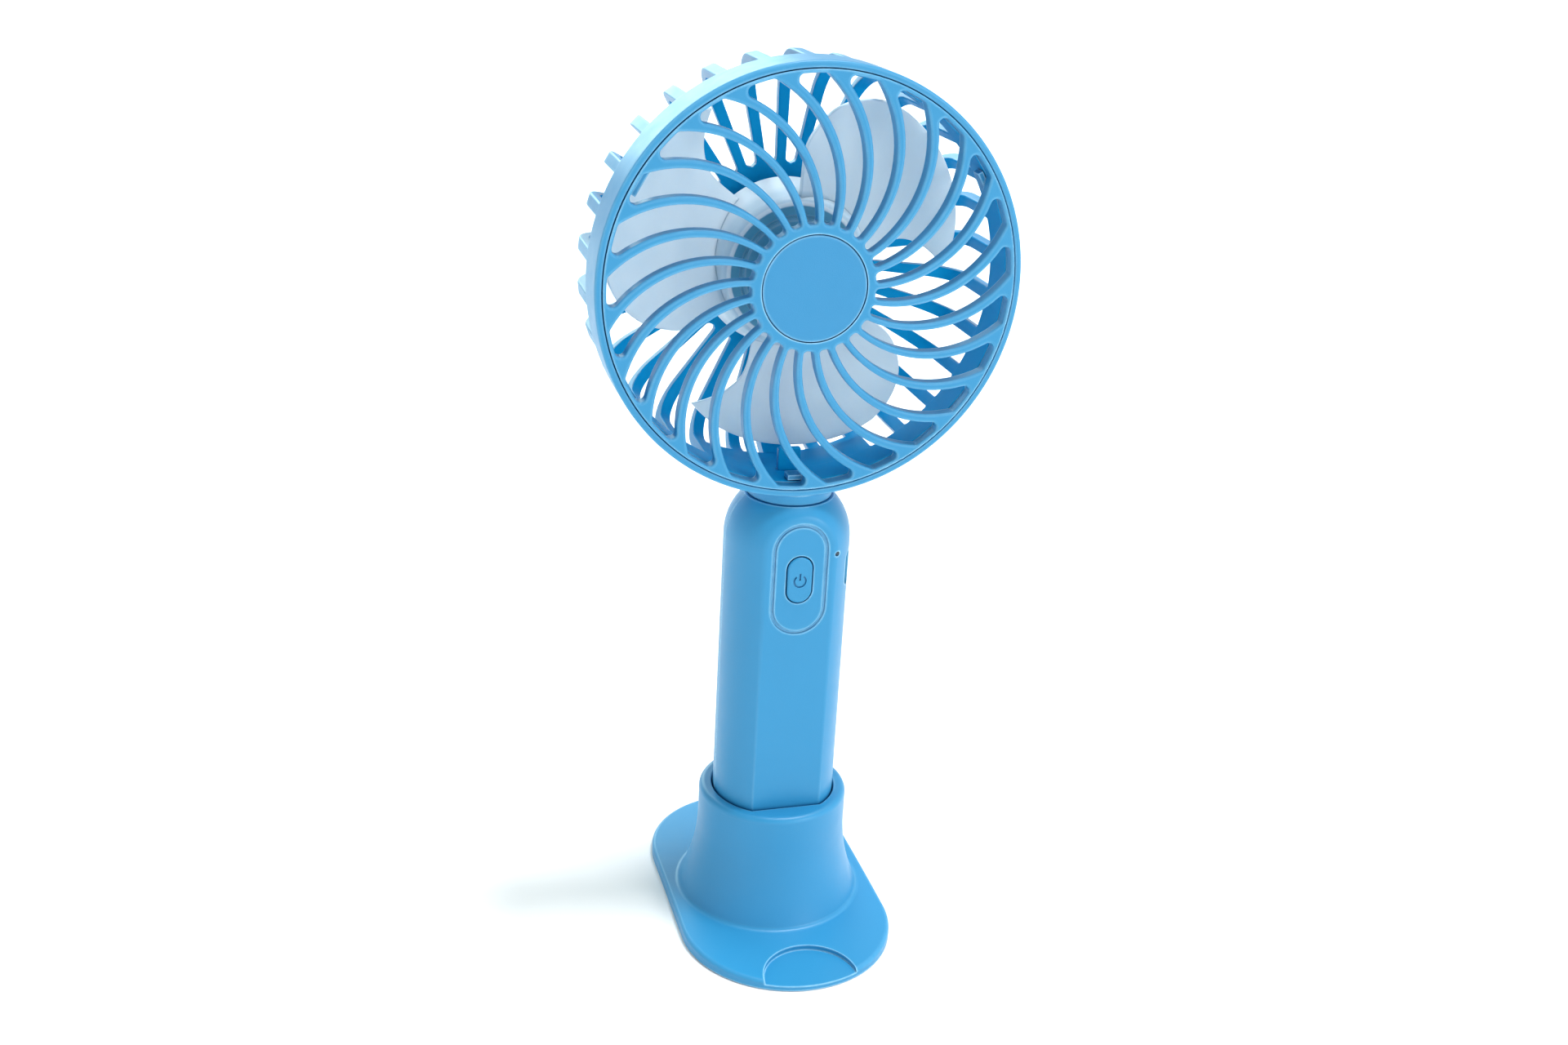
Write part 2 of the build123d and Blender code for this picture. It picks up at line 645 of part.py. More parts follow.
def make_board():
    half_h = (BOARD_TOP_Z - BOARD_BOTTOM_Z) / 2
    mid_z = (BOARD_TOP_Z + BOARD_BOTTOM_Z) / 2
    corner = 3.0
    with BuildPart() as board:
        with BuildSketch(front_plane(BOARD_FRONT_Y + BOARD_T, mid_z)) as outline:
            Rectangle(2 * BOARD_HALF_W, 2 * half_h)
            chamfer(outline.vertices(), corner)
        extrude(amount=BOARD_T)
        with BuildSketch(front_plane(BOARD_FRONT_Y + BOARD_T)):
            with Locations(*BOARD_SCREWS):
                Circle(BOARD_SCREW_R + FIT_GAP)
        extrude(amount=BOARD_T, mode=Mode.SUBTRACT)
    save(board.part, "circuit_board")

    # place (x, z), size (width, height) and thickness of the parts soldered behind the board
    chip_list = [
        ((-3.0, 96.5), (4.9, 3.9), 1.5),
        ((3.6, 93.0), (3.0, 2.8), 1.1),
        ((-4.6, 90.4), (1.6, 0.9), 1.1),
        ((-1.6, 90.4), (1.6, 0.9), 1.1),
        ((5.6, 98.4), (2.0, 1.25), 1.1),
        ((5.6, 100.6), (2.0, 1.25), 1.1),
    ]
    rear_face = BOARD_FRONT_Y + BOARD_T
    with BuildPart() as chips:
        for place, size, thickness in chip_list:
            with BuildSketch(front_plane(rear_face + thickness)):
                with Locations(place):
                    Rectangle(*size)
            extrude(amount=thickness)
    save(chips.part, "board_components")

    coil_place = (5.0, 87.4)
    coil_side, coil_corner, coil_h = 5.0, 1.0, 3.0
    ring_outer_r, ring_inner_r, ring_depth = 1.9, 1.5, 0.3
    with BuildPart() as inductor:
        with BuildSketch(front_plane(rear_face + coil_h)):
            with Locations(coil_place):
                RectangleRounded(coil_side, coil_side, coil_corner)
        extrude(amount=coil_h)
        with BuildSketch(front_plane(rear_face + coil_h)):
            with Locations(coil_place):
                Circle(ring_outer_r)
                Circle(ring_inner_r, mode=Mode.SUBTRACT)
        extrude(amount=ring_depth, mode=Mode.SUBTRACT)
    save(inductor.part, "board_inductor")

    with BuildPart() as switch:
        with BuildSketch(front_plane(BOARD_FRONT_Y, BUTTON_Z)):
            Rectangle(SWITCH_SIDE, SWITCH_SIDE)
        extrude(amount=SWITCH_BODY_H)
        fillet(switch.edges().filter_by(Axis.Y), SWITCH_CORNER)
        with BuildSketch(front_plane(BOARD_FRONT_Y - SWITCH_BODY_H + SWITCH_WELL_DEPTH, BUTTON_Z)):
            Circle(SWITCH_STEM_R + SWITCH_RUN_GAP)
        extrude(amount=2 * SWITCH_WELL_DEPTH, mode=Mode.SUBTRACT)
    save(switch.part, "switch_body")

    with BuildPart() as lamp:
        with BuildSketch(front_plane(BOARD_FRONT_Y, LAMP_Z)):
            with Locations((LAMP_X, 0)):
                Rectangle(*LAMP_CHIP_SIZE)
        extrude(amount=LAMP_CHIP_T)
    save(lamp.part, "lamp_chip")

    pipe_front_y = -sqrt(HANDLE_R ** 2 - LAMP_X ** 2) + LAMP_PIPE_SUNK
    pipe_rear_y = BOARD_FRONT_Y - LAMP_CHIP_T - 0.1
    with BuildPart() as pipe:
        with BuildSketch(front_plane(pipe_rear_y, LAMP_Z)):
            with Locations((LAMP_X, 0)):
                Circle(LAMP_R)
        extrude(amount=pipe_rear_y - pipe_front_y)
        fillet(pipe.faces().sort_by(Axis.Y)[0].edges(), LAMP_PIPE_ROUND)
    save(pipe.part, "lamp_pipe")


def port_plane(x):
    """A plane square to X at the charging port: its x is Z, its y is -Y."""
    return Plane(origin=(x, PORT_Y, PORT_Z), x_dir=(0, 0, 1), z_dir=(1, 0, 0))


def port_outline(shrink):
    """The socket's outline, drawn in the sketch that is open: a flat box with two slanted corners."""
    half_w = PORT_SHELL_W / 2 - shrink
    half_h = PORT_SHELL_H / 2 - shrink
    slant = PORT_SLANT
    corners = [
        (-half_w, half_h - slant),
        (-half_w + slant, half_h),
        (half_w - slant, half_h),
        (half_w, half_h - slant),
        (half_w, -half_h),
        (-half_w, -half_h),
    ]
    Polygon(*corners, align=None)


def make_port():
    with BuildPart() as shell:
        with BuildSketch(port_plane(PORT_MOUTH_X)):
            port_outline(0)
        extrude(amount=-PORT_DEPTH)
        with BuildSketch(port_plane(PORT_MOUTH_X)):
            port_outline(PORT_SHELL_T)
        extrude(amount=-(PORT_DEPTH - PORT_BACK_T), mode=Mode.SUBTRACT)
    save(shell.part, "port_shell")

    with BuildPart() as tongue:
        back_x = PORT_MOUTH_X - PORT_DEPTH + PORT_BACK_T
        with BuildSketch(port_plane(back_x)):
            port_outline(PORT_SHELL_T + TONGUE_GAP)
        extrude(amount=TONGUE_ROOT_L)
        with BuildSketch(port_plane(back_x + TONGUE_ROOT_L)):
            with Locations((0, TONGUE_OFFSET)):
                Rectangle(TONGUE_W, TONGUE_T)
        extrude(amount=TONGUE_L)
    save(tongue.part, "port_tongue")


# ---- battery --------------------------------------------------------------------------------
def cell_plane(z):
    return Plane(origin=(0, CELL_Y, z), x_dir=(1, 0, 0), z_dir=(0, 0, 1))


def make_battery():
    top_z = CELL_BOTTOM_Z + CELL_LENGTH
    with BuildPart() as cell:
        with BuildSketch(cell_plane(CELL_BOTTOM_Z)):
            Circle(CELL_R)
        extrude(amount=CELL_LENGTH - CELL_CAP_RISE)
        fillet(cell.edges(), CELL_ROUND)
        with BuildSketch(cell_plane(top_z - CELL_CAP_H)):
            Circle(CELL_CAP_R)
        extrude(amount=CELL_CAP_H)
    save(cell.part, "battery_cell")

    with BuildPart() as sleeve:
        with BuildSketch(cell_plane(CELL_BOTTOM_Z + SLEEVE_END_GAP)):
            Circle(CELL_R + SLEEVE_T)
            Circle(CELL_R, mode=Mode.SUBTRACT)
        extrude(amount=CELL_LENGTH - SLEEVE_SHORTER)
    save(sleeve.part, "battery_sleeve")

    with BuildPart() as tabs:
        with BuildSketch(cell_plane(top_z)):
            with Locations((TOP_TAB_X, 0)):
                RectangleRounded(TOP_TAB_L, TAB_W, TAB_CORNER)
        extrude(amount=TAB_T)
        with BuildSketch(cell_plane(CELL_BOTTOM_Z)):
            with Locations((FOOT_TAB_X, 0)):
                RectangleRounded(FOOT_TAB_L, TAB_W, TAB_CORNER)
        extrude(amount=-TAB_T)
    save(tabs.part, "battery_tabs")

    pad_y = CELL_Y + CELL_R + SLEEVE_T
    with BuildPart() as pad:
        with BuildSketch(front_plane(pad_y + PAD_GAP + PAD_T, CELL_BOTTOM_Z + CELL_LENGTH / 2)):
            RectangleRounded(PAD_W, PAD_H, PAD_CORNER)
        extrude(amount=PAD_T)
    save(pad.part, "battery_pad")


# ---- wires ------------------------------------------------------------------------------------
def make_wire(name, points, bends):
    """A round wire along straight runs joined by arcs."""
    with BuildPart() as wire:
        with BuildLine() as route:
            FilletPolyline(*points, radius=bends)
        with BuildSketch(Plane(origin=points[0], z_dir=route.line % 0)):
            Circle(WIRE_R)
        sweep(path=route.line)
    save(wire.part, name)


def make_wires():
    floor_z = HEAD_Z - WIRE_FLOOR_R
    wire_y = BOARD_FRONT_Y + BOARD_T + WIRE_R + 0.1
    bore_foot_z = 105.0
    board_in_z = 101.0
    motor_wire_end_z = 99.4
    for name, x in (("motor_wire_red", WIRE_X), ("motor_wire_black", -WIRE_X)):
        make_wire(
            name,
            [
                (x, WIRE_DUCT_Y, HEAD_Z - TERMINAL_R),
                (x, WIRE_DUCT_Y, floor_z),
                (x, 0.0, floor_z),
                (x, 0.0, bore_foot_z),
                (x, wire_y, board_in_z),
                (x, wire_y, motor_wire_end_z),
            ],
            MOTOR_WIRE_BENDS,
        )
    red_z = CELL_BOTTOM_Z + CELL_LENGTH + TAB_T + 0.7
    red_x = -3.0
    red_rise = 5.9
    make_wire(
        "battery_wire_red",
        [(TOP_TAB_X, CELL_Y, red_z), (red_x, CELL_Y, red_z), (red_x, wire_y, red_z + red_rise)],
        [1.8],
    )
    side_x = -11.6
    end_x = -6.0
    black_z = CELL_BOTTOM_Z - 1.0
    side_top_z = 79.5
    black_wire_end_z = 85.0
    make_wire(
        "battery_wire_black",
        [
            (end_x, CELL_Y, black_z),
            (side_x, CELL_Y, black_z),
            (side_x, CELL_Y, side_top_z),
            (end_x, wire_y, black_wire_end_z),
        ],
        [1.6, 2.0],
    )


# ---- head housing -------------------------------------------------------------------------------
def make_rear_slot(start_y):
    """The wedge-shaped cutter of one gap between two rear fins, pointing straight up."""
    half_w = FIN_OUTER_R * sin(radians(SLOT_HALF_ANGLE))
    top_r = HEAD_R + SLOT_OVERRUN
    top_half_w = half_w * top_r / HEAD_R
    foot_r = REAR_PLATE_R + SLOT_FOOT_HALF_W
    with BuildPart() as slot:
        with BuildSketch(head_plane(REAR_Y + 2)):
            with BuildLine():
                Line((-SLOT_FOOT_HALF_W, foot_r), (-top_half_w, top_r))
                Line((-top_half_w, top_r), (top_half_w, top_r))
                Line((top_half_w, top_r), (SLOT_FOOT_HALF_W, foot_r))
                ThreePointArc((SLOT_FOOT_HALF_W, foot_r), (0, REAR_PLATE_R), (-SLOT_FOOT_HALF_W, foot_r))
            make_face()
        extrude(amount=REAR_Y + 2 - start_y)
    return slot.part


def make_head_housing():
    shoulder_y = GRILLE_FRONT_Y + GRILLE_T
    bend_y = REAR_Y - FIN_BEND_R
    bend_r = FIN_OUTER_R - FIN_BEND_R
    inner_bend = FIN_BEND_R - BOWL_WALL
    diagonal = sqrt(0.5)
    pitch = 360 / FIN_COUNT
    saddle_slots = [180 - 1.5 * pitch, 180 - 0.5 * pitch, 180 + 0.5 * pitch, 180 + 1.5 * pitch]

    with BuildPart() as housing:
        # band and bowl, one turned wall
        with BuildSketch(HEAD_PROFILE):
            with BuildLine():
                Polyline(
                    (bend_y, FIN_OUTER_R),
                    (BAND_REAR_Y, FIN_OUTER_R),
                    (BAND_REAR_Y, HEAD_R),
                    (BAND_FRONT_Y, HEAD_R),
                    (BAND_FRONT_Y, GRILLE_R + FIT_GAP),
                    (shoulder_y, GRILLE_R + FIT_GAP),
                    (shoulder_y, BAND_INNER_R),
                    (bend_y, BAND_INNER_R),
                )
                inner_mid = (bend_y + inner_bend * diagonal, bend_r + inner_bend * diagonal)
                ThreePointArc((bend_y, BAND_INNER_R), inner_mid, (REAR_Y - BOWL_WALL, bend_r))
                Polyline((REAR_Y - BOWL_WALL, bend_r), (REAR_Y - BOWL_WALL, 0), (REAR_Y, 0), (REAR_Y, bend_r))
                outer_mid = (bend_y + FIN_BEND_R * diagonal, bend_r + FIN_BEND_R * diagonal)
                ThreePointArc((REAR_Y, bend_r), outer_mid, (bend_y, FIN_OUTER_R))
            make_face()
        revolve(axis=HEAD_AXIS)
        front_edges = housing.edges().filter_by(GeomType.CIRCLE).filter_by_position(
            Axis.Y, BAND_FRONT_Y - 0.01, BAND_FRONT_Y + 0.01
        )
        fillet(front_edges.sort_by(Edge.length)[-1], BAND_FRONT_FILLET)
        # gaps between the fins
        full_slot = make_rear_slot(BAND_REAR_Y)
        short_slot = make_rear_slot(SADDLE_REAR_Y)
        for index in range(FIN_COUNT):
            angle = (index + 0.5) * pitch
            cutter = short_slot if any(abs(angle - a) < 1 for a in saddle_slots) else full_slot
            add(cutter.rotate(HEAD_AXIS, angle), mode=Mode.SUBTRACT)
        # motor pocket
        add(ring_block(POCKET_OUTER_R, 0, POCKET_FRONT_Y, REAR_Y))
        # neck, spigot and flange
        with BuildSketch(Plane.XY.offset(HANDLE_TOP_Z)):
            Circle(NECK_R)
        extrude(amount=HEAD_Z - HEAD_R + NECK_SUNK - HANDLE_TOP_Z)
        with BuildSketch(Plane.XY.offset(SPIGOT_FLANGE_Z)):
            Circle(SPIGOT_R)
        extrude(amount=HANDLE_TOP_Z - SPIGOT_FLANGE_Z)
        with BuildSketch(Plane.XY.offset(SPIGOT_FLANGE_Z)):
            Circle(SPIGOT_FLANGE_R)
        extrude(amount=SPIGOT_FLANGE_T)
        # duct for the motor wires: down the rear grille, round its bend, then forward to the neck
        duct_front_y = MOTOR_REAR_Y - DUCT_FRONT_LAP
        with BuildSketch(HEAD_PROFILE):
            with BuildLine():
                Polyline(
                    (REAR_Y, -bend_r),
                    (REAR_Y, -POCKET_OUTER_R + 1),
                    (duct_front_y, -POCKET_OUTER_R + 1),
                    (duct_front_y, -bend_r - DUCT_SHOULDER),
                    (bend_y, -BAND_INNER_R),
                    (0, -BAND_INNER_R),
                    (0, -FIN_OUTER_R),
                    (bend_y, -FIN_OUTER_R),
                )
                ThreePointArc((bend_y, -FIN_OUTER_R), (outer_mid[0], -outer_mid[1]), (REAR_Y, -bend_r))
            make_face()
        extrude(amount=DUCT_HALF_W, both=True)
        # latch post for the grille, just behind the band
        with BuildSketch(Plane.XY.offset(HEAD_Z - BAND_INNER_R - 1)):
            with Locations((LATCH_X, 0)):
                Rectangle(*LATCH_SIZE)
        extrude(amount=LATCH_H + 1)
        # motor seat, shaft hole and screw holes
        add(ring_block(MOTOR_R + FIT_GAP, 0, MOTOR_FRONT_Y, REAR_Y + 1), mode=Mode.SUBTRACT)
        add(ring_block(MOTOR_BOSS_R + MOTOR_BOSS_GAP, 0, POCKET_FRONT_Y - 1, MOTOR_FRONT_Y + 1), mode=Mode.SUBTRACT)
        with BuildSketch(head_plane(MOTOR_FRONT_Y + 0.5)):
            with Locations((-MOTOR_SCREW_X, 0), (MOTOR_SCREW_X, 0)):
                Circle(SCREW_R + MOTOR_HOLE_GAP)
        extrude(amount=MOTOR_FRONT_Y - POCKET_FRONT_Y + 1, mode=Mode.SUBTRACT)
        # seat of the rear cover: a disc with a tail
        add(ring_block(COVER_R + FIT_GAP, 0, COVER_Y, REAR_Y + 1), mode=Mode.SUBTRACT)
        with BuildSketch(head_plane(REAR_Y + 1)):
            Rectangle(2 * (CHANNEL_HALF_W + TAIL_MARGIN + FIT_GAP), COVER_TAIL_R + FIT_GAP, align=(Align.CENTER, Align.MAX))
        extrude(amount=REAR_Y + 1 - COVER_Y, mode=Mode.SUBTRACT)
        # wire channel in the duct, round the bend, over the neck and down its bore
        channel_half_h = WIRE_R + FIT_GAP
        turn_y = WIRE_DUCT_Y - WIRE_BEND_R
        turn_r = WIRE_FLOOR_R - WIRE_BEND_R
        with BuildSketch(HEAD_PROFILE):
            with Locations((WIRE_DUCT_Y, -turn_r)):
                Rectangle(2 * (COVER_Y - WIRE_DUCT_Y) + 0.2, turn_r - MOTOR_R + 2, align=(Align.CENTER, Align.MIN))
            with Locations((0, -WIRE_FLOOR_R)):
                Rectangle(turn_y, 2 * channel_half_h, align=(Align.MIN, Align.CENTER))
            with BuildLine():
                CenterArc((turn_y, -turn_r), WIRE_BEND_R + channel_half_h, -90, 90)
                CenterArc((turn_y, -turn_r), WIRE_BEND_R - channel_half_h, -90, 90)
                Line(
                    (turn_y, -WIRE_FLOOR_R - channel_half_h),
                    (turn_y, -WIRE_FLOOR_R + channel_half_h),
                )
                Line(
                    (WIRE_DUCT_Y + channel_half_h, -turn_r),
                    (WIRE_DUCT_Y - channel_half_h, -turn_r),
                )
            make_face()
        extrude(amount=CHANNEL_HALF_W, both=True, mode=Mode.SUBTRACT)
        bore_foot_z = SPIGOT_FLANGE_Z - 1
        with BuildSketch(Plane.XY.offset(bore_foot_z)):
            Circle(WIRE_BORE_R)
        extrude(amount=HEAD_Z - WIRE_FLOOR_R + channel_half_h - bore_foot_z, mode=Mode.SUBTRACT)
    save(housing.part, "head_housing")


def make_rear_cover():
    with BuildPart() as cover:
        with BuildSketch(head_plane(REAR_Y)) as outline:
            Circle(COVER_R)
            Rectangle(2 * (CHANNEL_HALF_W + TAIL_MARGIN), COVER_TAIL_R, align=(Align.CENTER, Align.MAX))
        extrude(amount=REAR_Y - COVER_Y)
        fillet(cover.faces().sort_by(Axis.Y)[-1].edges(), COVER_ROUND)
        # concentric ring sunk in the outside
        with BuildSketch(head_plane(REAR_Y)):
            Circle(COVER_RING_R)
            Circle(COVER_RING_R - COVER_RING_W, mode=Mode.SUBTRACT)
        extrude(amount=COVER_RING_DEPTH, mode=Mode.SUBTRACT)
    save(cover.part, "rear_cover")


# ---- front grille -----------------------------------------------------------------------------------
def rib_side(angle, side):
    """Three points along one side of the rib that is turned by angle about the head's axis."""
    points = []
    centre_x, centre_y = RIB_ARC_CENTRE
    centre_r = sqrt(centre_x ** 2 + centre_y ** 2)
    for radius, width in ((GRILLE_HUB_R - 2, RIB_INNER_W), (30.0, (RIB_INNER_W + RIB_OUTER_W) / 2),
                          (GRILLE_RIM_IN_R + 1, RIB_OUTER_W)):
        # where the rib's centre line crosses this radius, then half a width to the side
        along = (radius ** 2 + centre_r ** 2 - RIB_ARC_R ** 2) / (2 * centre_r)
        across = sqrt(radius ** 2 - along ** 2)
        x = (centre_x * along + centre_y * across) / centre_r
        y = (centre_y * along - centre_x * across) / centre_r
        grow = 1 + side * width / 2 / RIB_ARC_R
        offset_x = centre_x + (x - centre_x) * grow
        offset_y = centre_y + (y - centre_y) * grow
        turn = radians(angle)
        points.append((offset_x * cos(turn) + offset_y * sin(turn), offset_y * cos(turn) - offset_x * sin(turn)))
    return points


def make_front_grille():
    pitch = 360 / RIB_COUNT
    hub_fillet = 0.95
    rim_fillet = 1.3
    rib_round = 0.6
    rim_round = 0.25
    rear_y = GRILLE_FRONT_Y + GRILLE_T
    with BuildPart() as cutter:
        with BuildSketch(head_plane(rear_y + 1)) as window:
            near = rib_side(0, 1)
            far = rib_side(pitch, -1)
            with BuildLine():
                ThreePointArc(*near)
                Line(near[2], far[2])
                ThreePointArc(*far)
                Line(far[0], near[0])
            make_face()
            Circle(GRILLE_RIM_IN_R, mode=Mode.INTERSECT)
            Circle(GRILLE_HUB_R, mode=Mode.SUBTRACT)
            corners = window.vertices().sort_by(lambda v: v.distance_to(Vertex(0, rear_y + 1, HEAD_Z)))
            fillet(corners[:2], hub_fillet)
            fillet(window.vertices().sort_by(lambda v: v.distance_to(Vertex(0, rear_y + 1, HEAD_Z)))[-2:], rim_fillet)
        extrude(amount=GRILLE_T + 2)

    with BuildPart() as grille:
        with BuildSketch(head_plane(rear_y)):
            Circle(GRILLE_R)
        extrude(amount=GRILLE_T)
        for index in range(RIB_COUNT):
            add(cutter.part.rotate(HEAD_AXIS, index * pitch), mode=Mode.SUBTRACT)
        face = grille.faces().sort_by(Axis.Y)[0]
        fillet([edge for wire in face.inner_wires() for edge in wire.edges()], rib_round)
        fillet(grille.faces().sort_by(Axis.Y)[0].outer_wire().edges(), rim_round)
        # seat of the badge disc
        with BuildSketch(head_plane(GRILLE_FRONT_Y + BADGE_T)):
            Circle(BADGE_R + BADGE_GAP)
        extrude(amount=2 * BADGE_T, mode=Mode.SUBTRACT)
        # three hooks behind the rim
        with BuildSketch(head_plane(rear_y + HOOK_L)):
            with PolarLocations(HOOK_R, HOOK_COUNT, start_angle=30):
                Rectangle(*HOOK_SIZE)
        extrude(amount=HOOK_L)
    save(grille.part, "front_grille")

    with BuildPart() as badge:
        with BuildSketch(head_plane(GRILLE_FRONT_Y + BADGE_T)):
            Circle(BADGE_R)
        extrude(amount=BADGE_T)
        fillet(badge.faces().sort_by(Axis.Y)[0].edges(), BADGE_ROUND)
    save(badge.part, "grille_badge")


# ---- motor ------------------------------------------------------------------------------------------
def make_motor():
    with BuildPart() as can:
        add(ring_block(MOTOR_R, 0, MOTOR_FRONT_Y, MOTOR_REAR_Y - CAP_RIM_T))
        fillet(can.faces().sort_by(Axis.Y)[0].edges(), CAN_ROUND)
        add(ring_block(MOTOR_BOSS_R, 0, MOTOR_FRONT_Y + BUSH_FRONT_SPAN[0], MOTOR_FRONT_Y))
        add(ring_block(MOTOR_R - CAN_T, 0, MOTOR_FRONT_Y + CAN_T, MOTOR_REAR_Y), mode=Mode.SUBTRACT)
        add(ring_block(BUSH_R, 0, MOTOR_FRONT_Y - 2, MOTOR_FRONT_Y + 2), mode=Mode.SUBTRACT)
        with BuildSketch(head_plane(MOTOR_FRONT_Y + CAN_T + 0.2)):
            with Locations((-MOTOR_SCREW_X, 0), (MOTOR_SCREW_X, 0)):
                Circle(SCREW_R)
        extrude(amount=CAN_T + 0.5, mode=Mode.SUBTRACT)
    save(can.part, "motor_can")

    with BuildPart() as end_cap:
        add(ring_block(MOTOR_R - CAN_T, 0, MOTOR_REAR_Y - CAP_T, MOTOR_REAR_Y))
        add(ring_block(MOTOR_R, 0, MOTOR_REAR_Y - CAP_RIM_T, MOTOR_REAR_Y))
        bush_well = ring_block(BUSH_R, 0, MOTOR_REAR_Y + BUSH_REAR_SPAN[0], MOTOR_REAR_Y + BUSH_REAR_SPAN[1])
        add(bush_well, mode=Mode.SUBTRACT)
    save(end_cap.part, "motor_end_cap")

    for name, face_y, span in (
        ("bush_front", MOTOR_FRONT_Y, BUSH_FRONT_SPAN),
        ("bush_rear", MOTOR_REAR_Y, BUSH_REAR_SPAN),
    ):
        save(ring_block(BUSH_R, SHAFT_R + SHAFT_RUN_GAP, face_y + span[0], face_y + span[1]), name)

    magnet_r = MOTOR_R - CAN_T
    with BuildPart() as magnets:
        with BuildSketch(head_plane(MAGNET_REAR_Y)):
            Circle(magnet_r)
            Circle(magnet_r - MAGNET_T, mode=Mode.SUBTRACT)
            Rectangle(3 * MOTOR_R, MAGNET_GAP_H, mode=Mode.SUBTRACT)
        extrude(amount=MAGNET_REAR_Y - MAGNET_FRONT_Y)
    save(magnets.part, "motor_magnets")

    brush_x = COMMUTATOR_R + 0.2
    with BuildPart() as brushes:
        with BuildSketch(head_plane(MOTOR_REAR_Y - CAP_T)):
            with Locations((brush_x, 0), (-brush_x, 0)):
                Rectangle(BRUSH_T, BRUSH_H)
        extrude(amount=BRUSH_L)
    save(brushes.part, "motor_brushes")

    with BuildPart() as terminals:
        with BuildSketch(head_plane(MOTOR_REAR_Y + TERMINAL_H)):
            with Locations((WIRE_X, -TERMINAL_R), (-WIRE_X, -TERMINAL_R)):
                Rectangle(*TERMINAL_SIZE)
        extrude(amount=TERMINAL_H)
    save(terminals.part, "motor_terminals")


def make_rotor():
    with BuildPart() as shaft:
        add(ring_block(SHAFT_R, 0, SHAFT_FRONT_Y, MOTOR_REAR_Y - 0.8))
        chamfer(shaft.edges().filter_by(GeomType.CIRCLE), SHAFT_CHAMFER)
    save(shaft.part, "motor_shaft")

    with BuildPart() as core:
        with BuildSketch(head_plane(ROTOR_REAR_Y)):
            Circle(ROTOR_HUB_R)
            with PolarLocations(0, 3, start_angle=30):
                Rectangle(ROTOR_R - ROTOR_SHOE_T / 2, ROTOR_ARM_W, align=(Align.MIN, Align.CENTER))
            with PolarLocations(0, 3, start_angle=30):
                with BuildLine():
                    arc_half = ROTOR_SHOE_HALF_ANGLE
                    shoe_in_r = ROTOR_R - ROTOR_SHOE_T
                    CenterArc((0, 0), ROTOR_R, -arc_half, 2 * arc_half)
                    CenterArc((0, 0), shoe_in_r, -arc_half, 2 * arc_half)
                    for end in (-arc_half, arc_half):
                        Line(
                            (ROTOR_R * cos(radians(end)), ROTOR_R * sin(radians(end))),
                            (shoe_in_r * cos(radians(end)), shoe_in_r * sin(radians(end))),
                        )
                make_face()
            Circle(SHAFT_R, mode=Mode.SUBTRACT)
        extrude(amount=ROTOR_REAR_Y - ROTOR_FRONT_Y)
    save(core.part, "rotor_core")

    with BuildPart() as coils:
        with BuildSketch(head_plane(ROTOR_REAR_Y + COIL_OVERHANG)):
            with PolarLocations(COIL_START_R, 3, start_angle=30):
                Rectangle(COIL_L, COIL_W, align=(Align.MIN, Align.CENTER))
        extrude(amount=ROTOR_REAR_Y - ROTOR_FRONT_Y + 2 * COIL_OVERHANG)
        fillet(coils.edges().filter_by(lambda e: abs(e.tangent_at(0).Y) < 0.01), COIL_ROUND)
        with BuildSketch(head_plane(ROTOR_REAR_Y)):
            with PolarLocations(0, 3, start_angle=30):
                Rectangle(ROTOR_R, ROTOR_ARM_W, align=(Align.MIN, Align.CENTER))
        extrude(amount=ROTOR_REAR_Y - ROTOR_FRONT_Y, mode=Mode.SUBTRACT)
    save(coils.part, "rotor_coils")

    save(ring_block(COMMUTATOR_R, SHAFT_R, ROTOR_REAR_Y, MOTOR_REAR_Y - 2.5), "commutator")


# ---- impeller ----------------------------------------------------------------------------------------
def blade_height(fraction):
    """Y of the blade's middle surface, from the round lobe (0) to the sharp tip (1)."""
    return BLADE_FRONT_Y + (BLADE_REAR_Y - BLADE_FRONT_Y) * (0.85 * fraction + 0.15 * fraction ** 2)


